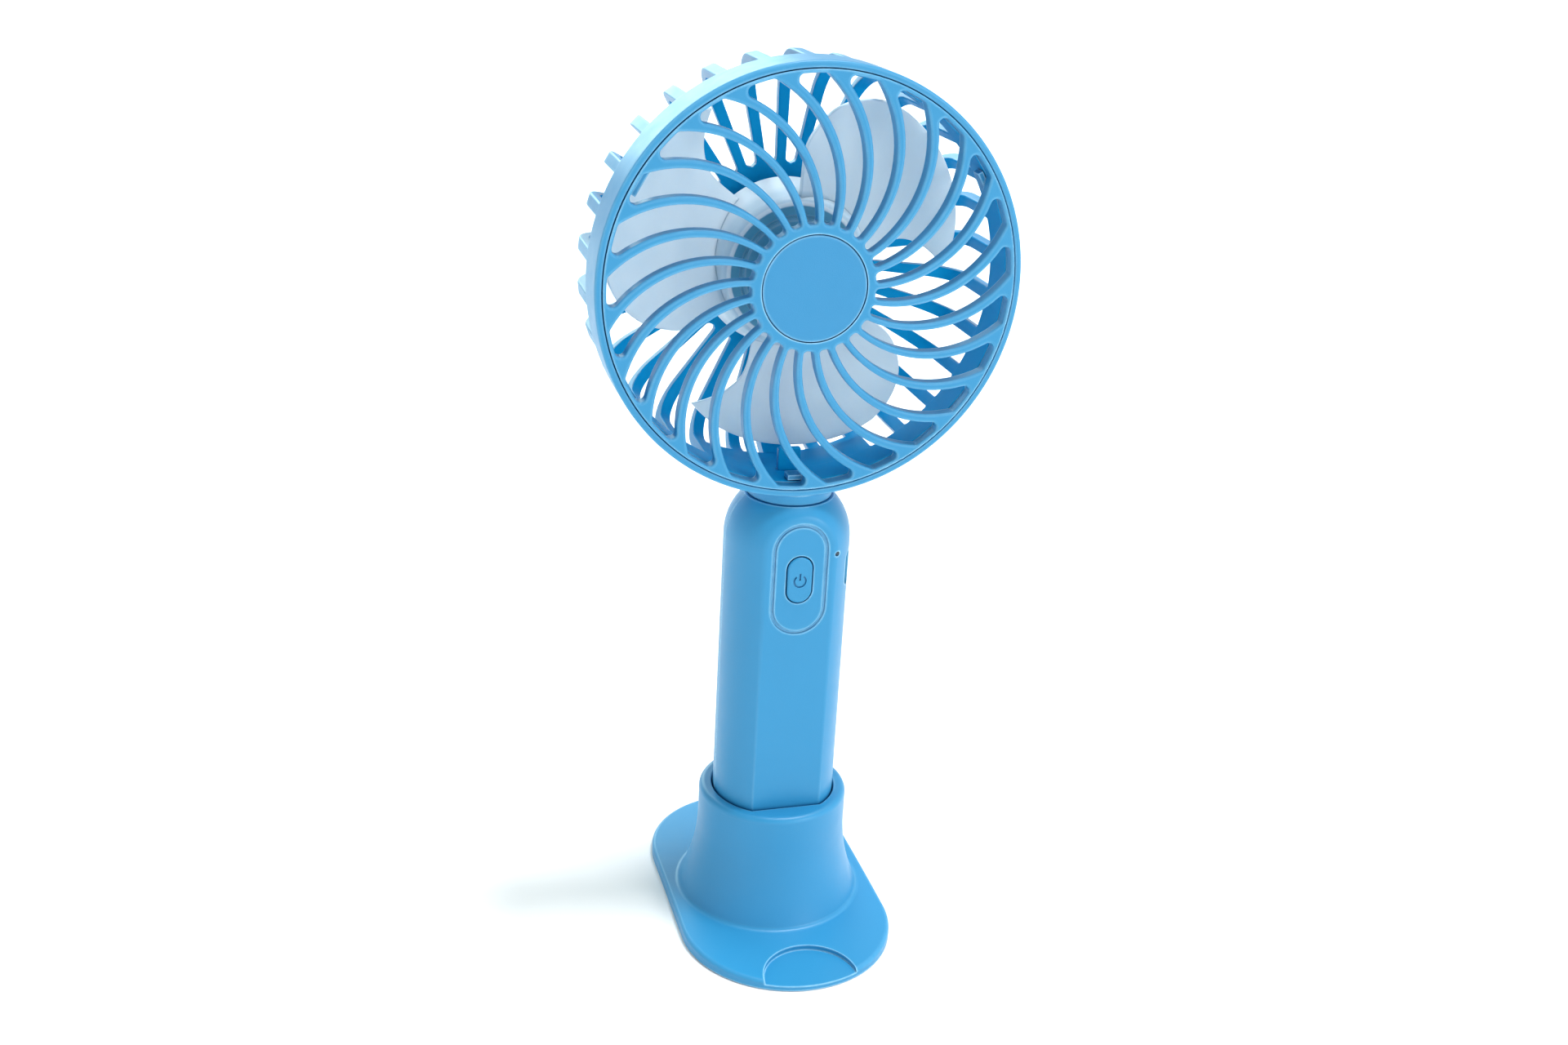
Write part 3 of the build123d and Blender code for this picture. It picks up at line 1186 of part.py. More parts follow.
def make_blade():
    """One blade, its sharp tip at BLADE_TIP_ANGLE."""
    start = BLADE_TIP_ANGLE - BLADE_SPAN
    overrun = 8.0
    sections = 9
    root_r = HUB_FRONT_R - HUB_WALL / 2
    with BuildPart() as blade:
        # a twisted slab through radial sections
        for index in range(sections):
            angle = start - overrun + (BLADE_SPAN + 2 * overrun) * index / (sections - 1)
            fraction = (angle - start) / BLADE_SPAN
            out_x, out_z = on_head(angle, 1.0)
            plane = Plane(
                origin=(0, blade_height(fraction), HEAD_Z),
                x_dir=(out_x, 0, out_z),
                z_dir=(-out_z, 0, out_x),
            )
            with BuildSketch(plane):
                with Locations((root_r, 0)):
                    Rectangle(HEAD_R - root_r, BLADE_T, align=(Align.MIN, Align.CENTER))
        loft()
        # outline: round lobe, long rim, sharp tip, hollow trailing side
        with BuildSketch(head_plane(REAR_Y)):
            with BuildLine():
                lobe_foot = on_head(start + 1.0, root_r)
                lobe_low = on_head(start + 2.0, 28.0)
                lobe_mid = on_head(start + 13.0, 37.5)
                lobe_top = on_head(start + 29.0, BLADE_R - 0.3)
                rim_mid = on_head(start + 48.0, BLADE_R)
                rim_late = on_head(start + 76.0, BLADE_R - 1.3)
                tip = on_head(BLADE_TIP_ANGLE, 40.6)
                hollow_1 = on_head(BLADE_TIP_ANGLE - 6.5, 35.0)
                hollow_2 = on_head(BLADE_TIP_ANGLE - 13.5, 28.5)
                tail_foot = on_head(BLADE_TIP_ANGLE - 9.0, root_r)
                Spline(lobe_foot, lobe_low, lobe_mid, lobe_top, rim_mid, rim_late, tip)
                Spline(tip, hollow_1, hollow_2, tail_foot)
                Line(tail_foot, lobe_foot)
            make_face()
        extrude(amount=REAR_Y, mode=Mode.INTERSECT)
    return blade.part


def make_impeller():
    blade = make_blade()
    draft = HUB_REAR_R - HUB_FRONT_R
    with BuildPart() as impeller:
        for index in range(BLADE_COUNT):
            add(blade.rotate(HEAD_AXIS, index * 360 / BLADE_COUNT))
        # hub cup, open to the rear
        with BuildSketch(HEAD_PROFILE):
            with BuildLine():
                nose = HUB_NOSE_R
                nose_mid = (HUB_FRONT_Y + nose * (1 - sqrt(0.5)), HUB_FRONT_R - nose * (1 - sqrt(0.5)))
                Line((HUB_FRONT_Y, 0), (HUB_FRONT_Y, HUB_FRONT_R - nose))
                ThreePointArc((HUB_FRONT_Y, HUB_FRONT_R - nose), nose_mid, (HUB_FRONT_Y + nose, HUB_FRONT_R))
                Line((HUB_FRONT_Y + nose, HUB_FRONT_R), (HUB_REAR_Y, HUB_REAR_R))
                Line((HUB_REAR_Y, HUB_REAR_R), (HUB_REAR_Y, HUB_REAR_R - HUB_WALL))
                Line((HUB_REAR_Y, HUB_REAR_R - HUB_WALL), (HUB_FRONT_Y + HUB_WALL, HUB_REAR_R - HUB_WALL - draft))
                Line((HUB_FRONT_Y + HUB_WALL, HUB_REAR_R - HUB_WALL - draft), (HUB_FRONT_Y + HUB_WALL, 0))
                Line((HUB_FRONT_Y + HUB_WALL, 0), (HUB_FRONT_Y, 0))
            make_face()
        revolve(axis=HEAD_AXIS)
        # clear the blades' roots out of the cup
        with BuildSketch(HEAD_PROFILE):
            with BuildLine():
                Polyline(
                    (HUB_FRONT_Y + HUB_WALL, 0),
                    (HUB_FRONT_Y + HUB_WALL, HUB_REAR_R - HUB_WALL - draft),
                    (HUB_REAR_Y, HUB_REAR_R - HUB_WALL),
                    (HUB_REAR_Y + 1, HUB_REAR_R - HUB_WALL),
                    (HUB_REAR_Y + 1, 0),
                    close=True,
                )
            make_face()
        revolve(axis=HEAD_AXIS, mode=Mode.SUBTRACT)
        # boss on the motor shaft
        add(ring_block(HUB_BOSS_R, 0, HUB_FRONT_Y + 0.2, POCKET_FRONT_Y - 0.2))
        add(ring_block(SHAFT_R, 0, SHAFT_FRONT_Y, POCKET_FRONT_Y + 1), mode=Mode.SUBTRACT)
    save(impeller.part, "impeller")


make_stand()
make_handle_shells()
make_shell_screws()
make_board_screws()
make_motor_screws()
make_button()
make_board()
make_port()
make_battery()
make_wires()
make_head_housing()
make_rear_cover()
make_front_grille()
make_motor()
make_rotor()
make_impeller()
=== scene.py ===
"""Looks of the handheld fan on its stand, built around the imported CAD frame.

Metres, +Z up, front = -Y, the same frame as the CAD. Lengths given in millimetres are multiplied by MM.
"""

import json
from math import atan2, cos, pi, radians, sin, sqrt

import bmesh
import bpy
from mathutils import Matrix, Vector


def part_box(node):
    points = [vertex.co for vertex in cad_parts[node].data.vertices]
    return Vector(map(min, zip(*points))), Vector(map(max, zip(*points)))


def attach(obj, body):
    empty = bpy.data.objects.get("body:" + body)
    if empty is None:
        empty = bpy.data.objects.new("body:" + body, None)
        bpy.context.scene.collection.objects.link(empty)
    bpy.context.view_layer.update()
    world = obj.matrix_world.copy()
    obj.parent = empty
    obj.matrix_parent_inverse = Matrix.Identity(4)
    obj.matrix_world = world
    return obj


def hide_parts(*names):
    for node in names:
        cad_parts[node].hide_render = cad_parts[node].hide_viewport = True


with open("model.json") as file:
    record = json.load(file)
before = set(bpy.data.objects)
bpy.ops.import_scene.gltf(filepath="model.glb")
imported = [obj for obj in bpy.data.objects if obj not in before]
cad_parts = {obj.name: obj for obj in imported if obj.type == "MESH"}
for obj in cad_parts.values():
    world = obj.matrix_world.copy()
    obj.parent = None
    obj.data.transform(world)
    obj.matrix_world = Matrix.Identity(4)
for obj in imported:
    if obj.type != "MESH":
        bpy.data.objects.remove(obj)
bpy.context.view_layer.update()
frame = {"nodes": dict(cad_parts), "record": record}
NODES = frame["nodes"]
MM = 0.001

# ---- colours, linear ------------------------------------------------------------------
SKY_BLUE = (0.024, 0.244, 0.488, 1.0)
SKY_BLUE_DEEP = (0.018, 0.226, 0.470, 1.0)
GAP_SHADE_BLUE = (0.002, 0.085, 0.27, 1.0)          # painted shade in grooves and gaps
INSIDE_SHADE_BLUE = (0.001, 0.295, 0.610, 1.0)      # painted shade and bounce light: a more saturated blue for the walls inside the head
EDGE_BLUE = (0.36, 0.70, 0.90, 1)             # edges that catch the light
# painted highlight on the badge's edges
BADGE_HIGHLIGHT_BLUE = (0.40, 0.72, 0.92, 1)
MILK_DIM = (0.65, 0.77, 0.84, 1)
MILK = (0.73, 0.83, 0.88, 1)
MOTOR_SHADE = (0.06, 0.32, 0.47, 1)          # painted shade: the motor in shadow seen through the frosted hub
# painted shade along the frosted edges
MILK_RIM_SHADE = (0.30, 0.48, 0.60, 1)
WHITE = (0.85, 0.85, 0.82, 1.0)
WALL_WHITE = (1.0, 1.0, 0.99, 1)
CEILING_GREY = (0.50, 0.51, 0.50, 1)
PAPER_DIM = (0.93, 0.93, 0.93, 1)
PAPER = (0.96, 0.96, 0.96, 1)
PLATED_STEEL = (0.62, 0.62, 0.60)             # metals have no alpha
SCREW_STEEL = (0.42, 0.42, 0.43)
NICKEL = (0.66, 0.64, 0.58)
BRONZE = (0.62, 0.45, 0.22)
COPPER = (0.72, 0.34, 0.16)
FERRITE = (0.05, 0.05, 0.055, 1)
BLACK = (0.02, 0.02, 0.02, 1)
BOARD_GREEN = (0.01, 0.12, 0.05, 1)
SLEEVE_GREEN = (0.02, 0.22, 0.20, 1)
FOAM_BLACK = (0.04, 0.04, 0.04, 1)
LENS_BLUE = (0.02, 0.05, 0.08, 1)
WIRE_RED = (0.5, 0.015, 0.015, 1)
WIRE_BLACK = (0.015, 0.015, 0.015, 1)

# ---- camera, floor and light: places in metres, angles in degrees, power in watts ------
CAMERA_PLACE = (-0.11089, -0.35996, 0.25534)
CAMERA_YAW, CAMERA_PITCH, CAMERA_ROLL = 17.005, 21.758, 3.267
CAMERA_LENS = 38.15
CEILING_START, CEILING_FULL = 0.30, 0.50      # height of a direction, 1 is straight up
FLOOR_HALF = 60.0
FLOOR_DROP = 0.0002
KEY_PLACE, KEY_AIM, KEY_SIZE, KEY_POWER = (0.80, -1.1, 0.60), (0, 0, 0.11), 0.6, 7
KEY_COLOUR = (0.98, 1.0, 0.97)
BACK_PLACE, BACK_AIM, BACK_SIZE, BACK_POWER = (-0.15, 1.6, 0.78), (0, 0, 0.17), 1.1, 14
BACK_COLOUR = (0.70, 1.0, 1.0)
TOP_TOWARD, TOP_STRENGTH, TOP_SPREAD = (0.25, -0.02, 1.0), 3.0, 18


def make_camera():
    """The camera at the viewing angle of a person who looks down at the fan from the front left."""
    yaw, pitch, roll = radians(CAMERA_YAW), radians(CAMERA_PITCH), radians(CAMERA_ROLL)
    forward = Vector((sin(yaw) * cos(pitch), cos(yaw) * cos(pitch), -sin(pitch)))
    right = forward.cross(Vector((0, 0, 1))).normalized()
    up = right.cross(forward)
    x_axis = right * cos(roll) + up * sin(roll)
    y_axis = up * cos(roll) - right * sin(roll)
    data = bpy.data.cameras.new("camera")
    data.lens = CAMERA_LENS
    data.clip_start = 0.01
    camera = bpy.data.objects.new("camera", data)
    bpy.context.scene.collection.objects.link(camera)
    turn = Matrix((x_axis, y_axis, -forward)).transposed().to_4x4()
    camera.matrix_world = Matrix.Translation(CAMERA_PLACE) @ turn
    bpy.context.scene.camera = camera


def add_area_light(name, place, aim, size, power, colour):
    """A round soft light at a place, turned to its aim."""
    data = bpy.data.lights.new(name, "AREA")
    data.shape = "DISK"
    data.size = size
    data.energy = power
    data.color = colour
    light = bpy.data.objects.new(name, data)
    bpy.context.scene.collection.objects.link(light)
    light.location = place
    light.rotation_mode = "QUATERNION"
    light.rotation_quaternion = (Vector(aim) - Vector(place)).to_track_quat("-Z", "Y")


def add_sun(name, toward, strength, spread):
    """A distant light that comes from a direction, spread over an angle in degrees."""
    light = bpy.data.lights.new(name, "SUN")
    light.energy = strength
    light.angle = radians(spread)
    sun = bpy.data.objects.new(name, light)
    bpy.context.scene.collection.objects.link(sun)
    sun.rotation_euler = Vector(toward).to_track_quat("Z", "Y").to_euler()


def make_world():
    """White walls round the object and a dimmer ceiling."""
    world = bpy.data.worlds.new("studio")
    world.use_nodes = True
    nodes, links = world.node_tree.nodes, world.node_tree.links
    background = nodes["Background"]
    direction = nodes.new("ShaderNodeTexCoord")
    parts = nodes.new("ShaderNodeSeparateXYZ")
    links.new(direction.outputs["Generated"], parts.inputs[0])
    walls = nodes.new("ShaderNodeValToRGB")
    walls.color_ramp.elements[0].position = CEILING_START
    walls.color_ramp.elements[0].color = WALL_WHITE
    walls.color_ramp.elements[1].position = CEILING_FULL
    walls.color_ramp.elements[1].color = CEILING_GREY
    links.new(parts.outputs["Z"], walls.inputs["Fac"])
    links.new(walls.outputs["Color"], background.inputs["Color"])
    background.inputs["Strength"].default_value = 1.0
    bpy.context.scene.world = world
    bpy.context.scene.view_settings.view_transform = "Standard"


def make_floor():
    """A wide sheet of pale paper just under the stand."""
    mesh = bpy.data.meshes.new("floor")
    corners = [(-1, -1), (1, -1), (1, 1), (-1, 1)]
    mesh.from_pydata([(x * FLOOR_HALF, y * FLOOR_HALF, -FLOOR_DROP) for x, y in corners], [], [(0, 1, 2, 3)])
    floor = bpy.data.objects.new("floor", mesh)
    bpy.context.scene.collection.objects.link(floor)
    material, nodes, links = new_material("floor_paper")
    shader = nodes["Principled BSDF"]
    shader.inputs["Roughness"].default_value = 0.9
    noise = nodes.new("ShaderNodeTexNoise")
    noise.inputs["Scale"].default_value = 900
    ramp = nodes.new("ShaderNodeMix")
    ramp.data_type = "RGBA"
    ramp.inputs["A"].default_value = PAPER_DIM
    ramp.inputs["B"].default_value = PAPER
    links.new(noise.outputs["Fac"], ramp.inputs["Factor"])
    links.new(ramp.outputs["Result"], shader.inputs["Base Color"])
    mesh.materials.append(material)


def make_lights():
    """A key light at the front right, a cool one behind the head and a wide sun from above."""
    add_area_light("key", KEY_PLACE, KEY_AIM, KEY_SIZE, KEY_POWER, KEY_COLOUR)
    add_area_light("back", BACK_PLACE, BACK_AIM, BACK_SIZE, BACK_POWER, BACK_COLOUR)
    add_sun("top", TOP_TOWARD, TOP_STRENGTH, TOP_SPREAD)


# ---- materials --------------------------------------------------------------------------
EDGE_HIGHLIGHT_REACH = 0.7 * MM         # how far from an edge the painted highlight reaches
CAVITY_REACH = 1.2 * MM       # gaps up to about this wide get painted shade
EDGE_GAIN = 6.0
CAVITY_START, CAVITY_GAIN = 0.22, 1.6
HUB_SHADOW_R = 20.5 * MM
# painted shade of the motor seen through the hub: (radius as a share of HUB_SHADOW_R, how much of it shows)
HUB_SHADOW = (
    (0.30, 0.75), (0.33, 1.0), (0.58, 0.92), (0.60, 0.70), (0.62, 0.95), (0.76, 0.95),
    (0.775, 0.0), (0.805, 0.0), (0.82, 0.32), (0.90, 0.22), (0.93, 0.0),
)


def new_material(name):
    """A node material with its nodes and links."""
    material = bpy.data.materials.new(name)
    material.use_nodes = True
    return material, material.node_tree.nodes, material.node_tree.links


def math_node(nodes, links, operation, a, b=None, c=None, clamp=False):
    """The output of a Math node whose inputs are numbers or other outputs."""
    node = nodes.new("ShaderNodeMath")
    node.operation = operation
    node.use_clamp = clamp
    for socket, value in zip(node.inputs, (a, b, c)):
        if value is None:
            continue
        if isinstance(value, (int, float)):
            socket.default_value = value
        else:
            links.new(value, socket)
    return node.outputs[0]


def mix_node(nodes, links, factor, a, b):
    """The output of a colour mix whose inputs are values or other outputs."""
    node = nodes.new("ShaderNodeMix")
    node.data_type = "RGBA"
    for key, value in (("Factor", factor), ("A", a), ("B", b)):
        socket = node.inputs[key]
        if isinstance(value, (int, float, tuple)):
            socket.default_value = value
        else:
            links.new(value, socket)
    return node.outputs["Result"]


def noise_node(nodes, links, scale, detail=2.0, roughness=0.5):
    """Noise from 0 to 1 in the object's own metres."""
    coordinates = nodes.new("ShaderNodeTexCoord")
    noise = nodes.new("ShaderNodeTexNoise")
    noise.inputs["Scale"].default_value = scale
    noise.inputs["Detail"].default_value = detail
    noise.inputs["Roughness"].default_value = roughness
    links.new(coordinates.outputs["Object"], noise.inputs["Vector"])
    return noise.outputs["Fac"]


def edge_mask(nodes, links, radius):
    """Near 1 on convex and concave edges, 0 on open faces."""
    bevel = nodes.new("ShaderNodeBevel")
    bevel.samples = 4
    bevel.inputs["Radius"].default_value = radius
    geometry = nodes.new("ShaderNodeNewGeometry")
    dot = nodes.new("ShaderNodeVectorMath")
    dot.operation = "DOT_PRODUCT"
    links.new(bevel.outputs["Normal"], dot.inputs[0])
    links.new(geometry.outputs["Normal"], dot.inputs[1])
    turned = math_node(nodes, links, "SUBTRACT", 1.0, dot.outputs["Value"])
    return math_node(nodes, links, "MULTIPLY", turned, EDGE_GAIN, clamp=True)


def cavity_mask(nodes, links, reach):
    """Near 1 deep in narrow gaps and grooves, 0 on open faces: where the painted shade goes."""
    shade = nodes.new("ShaderNodeAmbientOcclusion")
    shade.samples = 8
    shade.inputs["Distance"].default_value = reach
    shut = math_node(nodes, links, "SUBTRACT", 1.0, shade.outputs["AO"])
    start = math_node(nodes, links, "SUBTRACT", shut, CAVITY_START)
    return math_node(nodes, links, "MULTIPLY", start, CAVITY_GAIN, clamp=True)


def bump_surface(nodes, links, height, strength, distance):
    """Sends a height through a bump to the shader's normal."""
    bump = nodes.new("ShaderNodeBump")
    bump.inputs["Strength"].default_value = strength
    bump.inputs["Distance"].default_value = distance
    links.new(height, bump.inputs["Height"])
    links.new(bump.outputs["Normal"], nodes["Principled BSDF"].inputs["Normal"])


def moulded_plastic(name, colour, roughness, grain, highlight_colour=None, cavity_shade_colour=None, specular=0.5):
    """Satin moulded plastic: spark-eroded grain, slow flow marks, a painted highlight on edges and painted
    shade in gaps.
    """
    material, nodes, links = new_material(name)
    shader = nodes["Principled BSDF"]
    spread = 0.06
    dark = tuple(c * (1 - spread) for c in colour[:3]) + (1.0,)
    light = tuple(min(1.0, c * (1 + spread)) for c in colour[:3]) + (1.0,)
    flow = noise_node(nodes, links, 35, 3.0)
    cloud = noise_node(nodes, links, 260, 2.0)
    fine = noise_node(nodes, links, 3800, 2.0, 0.6)
    blend = math_node(nodes, links, "MULTIPLY_ADD", flow, 0.6, 0.2)
    blotch = mix_node(nodes, links, blend, dark, light)
    if highlight_colour is not None:
        # painted highlight: edges turned lighter, in patches
        edges = edge_mask(nodes, links, EDGE_HIGHLIGHT_REACH)
        highlight_patches = math_node(nodes, links, "ADD", cloud, 0.35)
        edge_highlight = math_node(nodes, links, "MULTIPLY", edges, highlight_patches, clamp=True)
        blotch = mix_node(nodes, links, edge_highlight, blotch, highlight_colour)
    if cavity_shade_colour is not None:
        # painted shade in narrow gaps and grooves
        blotch = mix_node(nodes, links, cavity_mask(nodes, links, CAVITY_REACH), blotch, cavity_shade_colour)
    links.new(blotch, shader.inputs["Base Color"])
    rough = math_node(nodes, links, "MULTIPLY_ADD", cloud, 0.12, roughness - 0.06)
    links.new(rough, shader.inputs["Roughness"])
    bump_surface(nodes, links, fine, grain, 0.05 * MM)
    shader.inputs["Specular IOR Level"].default_value = specular
    return material


def frosted_plastic(name):
    """Milky frosted polypropylene: light scatters in it, with painted shade where the dark motor shows
    through the hub and along the frosted edges.
    """
    material, nodes, links = new_material(name)
    shader = nodes["Principled BSDF"]
    cloud = noise_node(nodes, links, 120, 3.0)
    fine = noise_node(nodes, links, 3000, 2.0, 0.6)
    milk = mix_node(nodes, links, cloud, MILK_DIM, MILK)
    # distance from the fan's axis
    place = nodes.new("ShaderNodeTexCoord")
    parts = nodes.new("ShaderNodeSeparateXYZ")
    links.new(place.outputs["Object"], parts.inputs[0])
    height = math_node(nodes, links, "SUBTRACT", parts.outputs["Z"], HEAD_Z)
    across = math_node(nodes, links, "MULTIPLY", parts.outputs["X"], parts.outputs["X"])
    upward = math_node(nodes, links, "MULTIPLY", height, height)
    radius = math_node(nodes, links, "SQRT", math_node(nodes, links, "ADD", across, upward))
    shadow = nodes.new("ShaderNodeValToRGB")
    ramp = shadow.color_ramp
    ramp.elements[0].position = 0.0
    ramp.elements[0].color = (1, 1, 1, 1)
    ramp.elements[1].position = 1.0
    ramp.elements[1].color = (0, 0, 0, 1)
    for stop, level in HUB_SHADOW:
        element = ramp.elements.new(stop)
        element.color = (level, level, level, 1)
    links.new(math_node(nodes, links, "DIVIDE", radius, HUB_SHADOW_R), shadow.inputs["Fac"])
    # painted shade of the motor seen through the hub
    hub_shade = mix_node(nodes, links, shadow.outputs["Color"], milk, MOTOR_SHADE)
    # painted shade along the edges of blades and hub
    rim_shade = math_node(nodes, links, "MULTIPLY", edge_mask(nodes, links, 0.5 * MM), 0.75)
    links.new(mix_node(nodes, links, rim_shade, hub_shade, MILK_RIM_SHADE), shader.inputs["Base Color"])
    links.new(math_node(nodes, links, "MULTIPLY_ADD", cloud, 0.1, 0.40), shader.inputs["Roughness"])
    shader.inputs["Subsurface Weight"].default_value = 0.35
    shader.inputs["Subsurface Radius"].default_value = (0.9, 1.1, 1.2)
    shader.inputs["Subsurface Scale"].default_value = 3 * MM
    shader.inputs["IOR"].default_value = 1.49
    bump_surface(nodes, links, fine, 0.2, 0.04 * MM)
    return material


def metal(name, colour, roughness, scratch=400, grain=0.15):
    """Bare metal with dull patches and a fine grain."""
    material, nodes, links = new_material(name)
    shader = nodes["Principled BSDF"]
    shader.inputs["Metallic"].default_value = 1.0
    cloud = noise_node(nodes, links, scratch, 4.0)
    fine = noise_node(nodes, links, 5000, 2.0)
    dull = tuple(c * 0.82 for c in colour) + (1.0,)
    links.new(mix_node(nodes, links, cloud, dull, tuple(colour) + (1.0,)), shader.inputs["Base Color"])
    rough = math_node(nodes, links, "MULTIPLY_ADD", cloud, 0.18, roughness - 0.05)
    links.new(rough, shader.inputs["Roughness"])
    bump_surface(nodes, links, fine, grain, 0.03 * MM)
    return material


def paint(node, material):
    """Gives a CAD node its material."""
    mesh = NODES[node].data
    mesh.materials.clear()
    mesh.materials.append(material)


# ---- mesh helpers -------------------------------------------------------------------------
def grid_faces(rows, columns, closed_rows=False, closed_columns=False):
    """Quads of a grid whose vertices run row by row."""
    faces = []
    for i in range(rows if closed_rows else rows - 1):
        for j in range(columns if closed_columns else columns - 1):
            next_i, next_j = (i + 1) % rows, (j + 1) % columns
            here, ahead = i * columns, next_i * columns
            faces.append((here + j, ahead + j, ahead + next_j, here + next_j))
    return faces


def scratch_object(vertices, faces, weld=1e-6):
    """A mesh object for further work, in the CAD's frame, welded, its faces turned outwards."""
    mesh = bpy.data.meshes.new("scratch")
    mesh.from_pydata([tuple(v) for v in vertices], [], faces)
    work = bmesh.new()
    work.from_mesh(mesh)
    bmesh.ops.remove_doubles(work, verts=work.verts, dist=weld)
    bmesh.ops.recalc_face_normals(work, faces=work.faces)
    work.to_mesh(mesh)
    work.free()
    made = bpy.data.objects.new("scratch", mesh)
    bpy.context.scene.collection.objects.link(made)
    return made


def baked_mesh(source):
    """The mesh of an object with its modifiers applied. The object is removed."""
    graph = bpy.context.evaluated_depsgraph_get()
    mesh = bpy.data.meshes.new_from_object(source.evaluated_get(graph))
    bpy.data.objects.remove(source)
    return mesh


def join_meshes(meshes):
    """One mesh of several."""
    work = bmesh.new()
    for mesh in meshes:
        work.from_mesh(mesh)
    joined = bpy.data.meshes.new("joined")
    work.to_mesh(joined)
    work.free()
    return joined


def finish_piece(name, mesh, body, replaced, material, sharp=32.0):
    """A named piece on a CAD body, smooth up to the sharp angle."""
    mesh.name = name
    mesh.materials.clear()
    mesh.materials.append(material)
    mesh.shade_smooth()
    mesh.set_sharp_from_angle(angle=radians(sharp))
    piece = bpy.data.objects.new(name, mesh)
    bpy.context.scene.collection.objects.link(piece)
    weighted = piece.modifiers.new("weighted", "WEIGHTED_NORMAL")
    weighted.keep_sharp = True
    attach(piece, body)
    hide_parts(*replaced)
    return piece


def cut(target, cutters):
    """Boolean differences, then the cutters are removed."""
    for cutter in cutters:
        step = target.modifiers.new("cut", "BOOLEAN")
        step.operation = "DIFFERENCE"
        step.solver = "EXACT"
        step.object = cutter
    mesh = baked_mesh(target)
    for cutter in cutters:
        bpy.data.objects.remove(cutter)
    return mesh


def bevelled(target, width, angle=40.0):
    """The object with its edges sharper than the angle rounded."""
    rounding = target.modifiers.new("rounding", "BEVEL")
    rounding.width = width
    rounding.segments = 3
    rounding.limit_method = "ANGLE"
    rounding.angle_limit = radians(angle)
    return target


def lathe(profile, centre, segments=96, axis="Y"):
    """A closed profile of (along, radius) pairs turned about an axis through centre."""
    vertices = []
    for i in range(segments):
        turn = 2 * pi * i / segments
        for along, radius in profile:
            a, b = radius * sin(turn), radius * cos(turn)
            if axis == "Y":
                vertices.append((centre[0] + a, along, centre[2] + b))
            else:
                vertices.append((centre[0] + a, centre[1] + b, along))
    return scratch_object(vertices, grid_faces(segments, len(profile), True, True))


def pill(half_w, half_h, steps=24):
    """Points round an upright pill, (across, up)."""
    rise = half_h - half_w
    points = []
    for i in range(2 * steps):
        turn = pi * i / steps
        lift = rise if i < steps else -rise
        if i in (0, steps):
            points.append((half_w * cos(turn), -lift))
        points.append((half_w * cos(turn), lift + half_w * sin(turn)))
    return points


# ---- impeller -------------------------------------------------------------------------------
HEAD_Z = (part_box("front_grille")[0].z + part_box("front_grille")[1].z) / 2
HEAD_CENTRE = (0.0, 0.0, HEAD_Z)
HUB_FRONT_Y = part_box("impeller")[0].y
HUB_REAR_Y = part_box("impeller")[1].y
HUB_FRONT_R = 17.9 * MM
HUB_REAR_R = 20.2 * MM
HUB_WALL = 1.6 * MM
BLADE_START = 0.0             # degrees clockwise from the top, the round lobe's foot
BLADE_SPAN = 92.0
BLADE_COUNT = 3
BLADE_T = 1.25 * MM
BLADE_ROUNDING = 0.42 * MM
BLADE_FRONT_Y, BLADE_RISE = 5.4 * MM, 9.8 * MM
BLADE_BELLY = 0.9 * MM
# a blade's edges as (degrees from the lobe's foot, radius)
ROOT_R = HUB_FRONT_R - HUB_WALL / 2
LOBE_EDGE = (
    (1.0, ROOT_R), (2.0, 28 * MM), (7.0, 34 * MM),
    (13.0, 38.6 * MM), (21.0, 42.2 * MM), (29.0, 44.3 * MM),
)
TAIL_EDGE = (
    (83.0, ROOT_R), (79.0, 24 * MM), (78.5, 29 * MM),
    (82.0, 33.5 * MM), (86.5, 37 * MM), (92.0, 40.6 * MM),
)
RIM_EDGE = (
    (29.0, 44.3 * MM), (38.0, 44.9 * MM), (52.0, 44.9 * MM),
    (66.0, 44.3 * MM), (80.0, 43.0 * MM), (92.0, 40.6 * MM),
)
ROOT_EDGE = ((1.0, ROOT_R), (83.0, ROOT_R))


def smooth_curve(points, share):
    """A point on a Catmull-Rom curve through the points, share from 0 to 1."""
    place = share * (len(points) - 1)
    i = min(int(place), len(points) - 2)
    t = place - i
    first = points[i - 1] if i else [2 * a - b for a, b in zip(points[0], points[1])]
    last = points[i + 2] if i + 2 < len(points) else [2 * a - b for a, b in zip(points[-1], points[-2])]
    result = []
    for a, b, c, d in zip(first, points[i], points[i + 1], last):
        square, cube = 2 * a - 5 * b + 4 * c - d, 3 * b - 3 * c + d - a
        result.append(0.5 * (2 * b + (c - a) * t + square * t * t + cube * t ** 3))
    return result


def blade_surface(along, out):
    """Angle in degrees and radius of a blade's point: along from lobe to tip, out from root to rim."""
    left, right = smooth_curve(LOBE_EDGE, out), smooth_curve(TAIL_EDGE, out)
    low, high = smooth_curve(ROOT_EDGE, along), smooth_curve(RIM_EDGE, along)
    point = []
    for k in range(2):
        corners = (
            ROOT_EDGE[0][k] * (1 - along) * (1 - out) + ROOT_EDGE[1][k] * along * (1 - out)
            + RIM_EDGE[0][k] * (1 - along) * out + RIM_EDGE[-1][k] * along * out
        )
        point.append(left[k] * (1 - along) + right[k] * along + low[k] * (1 - out) + high[k] * out - corners)
    return point


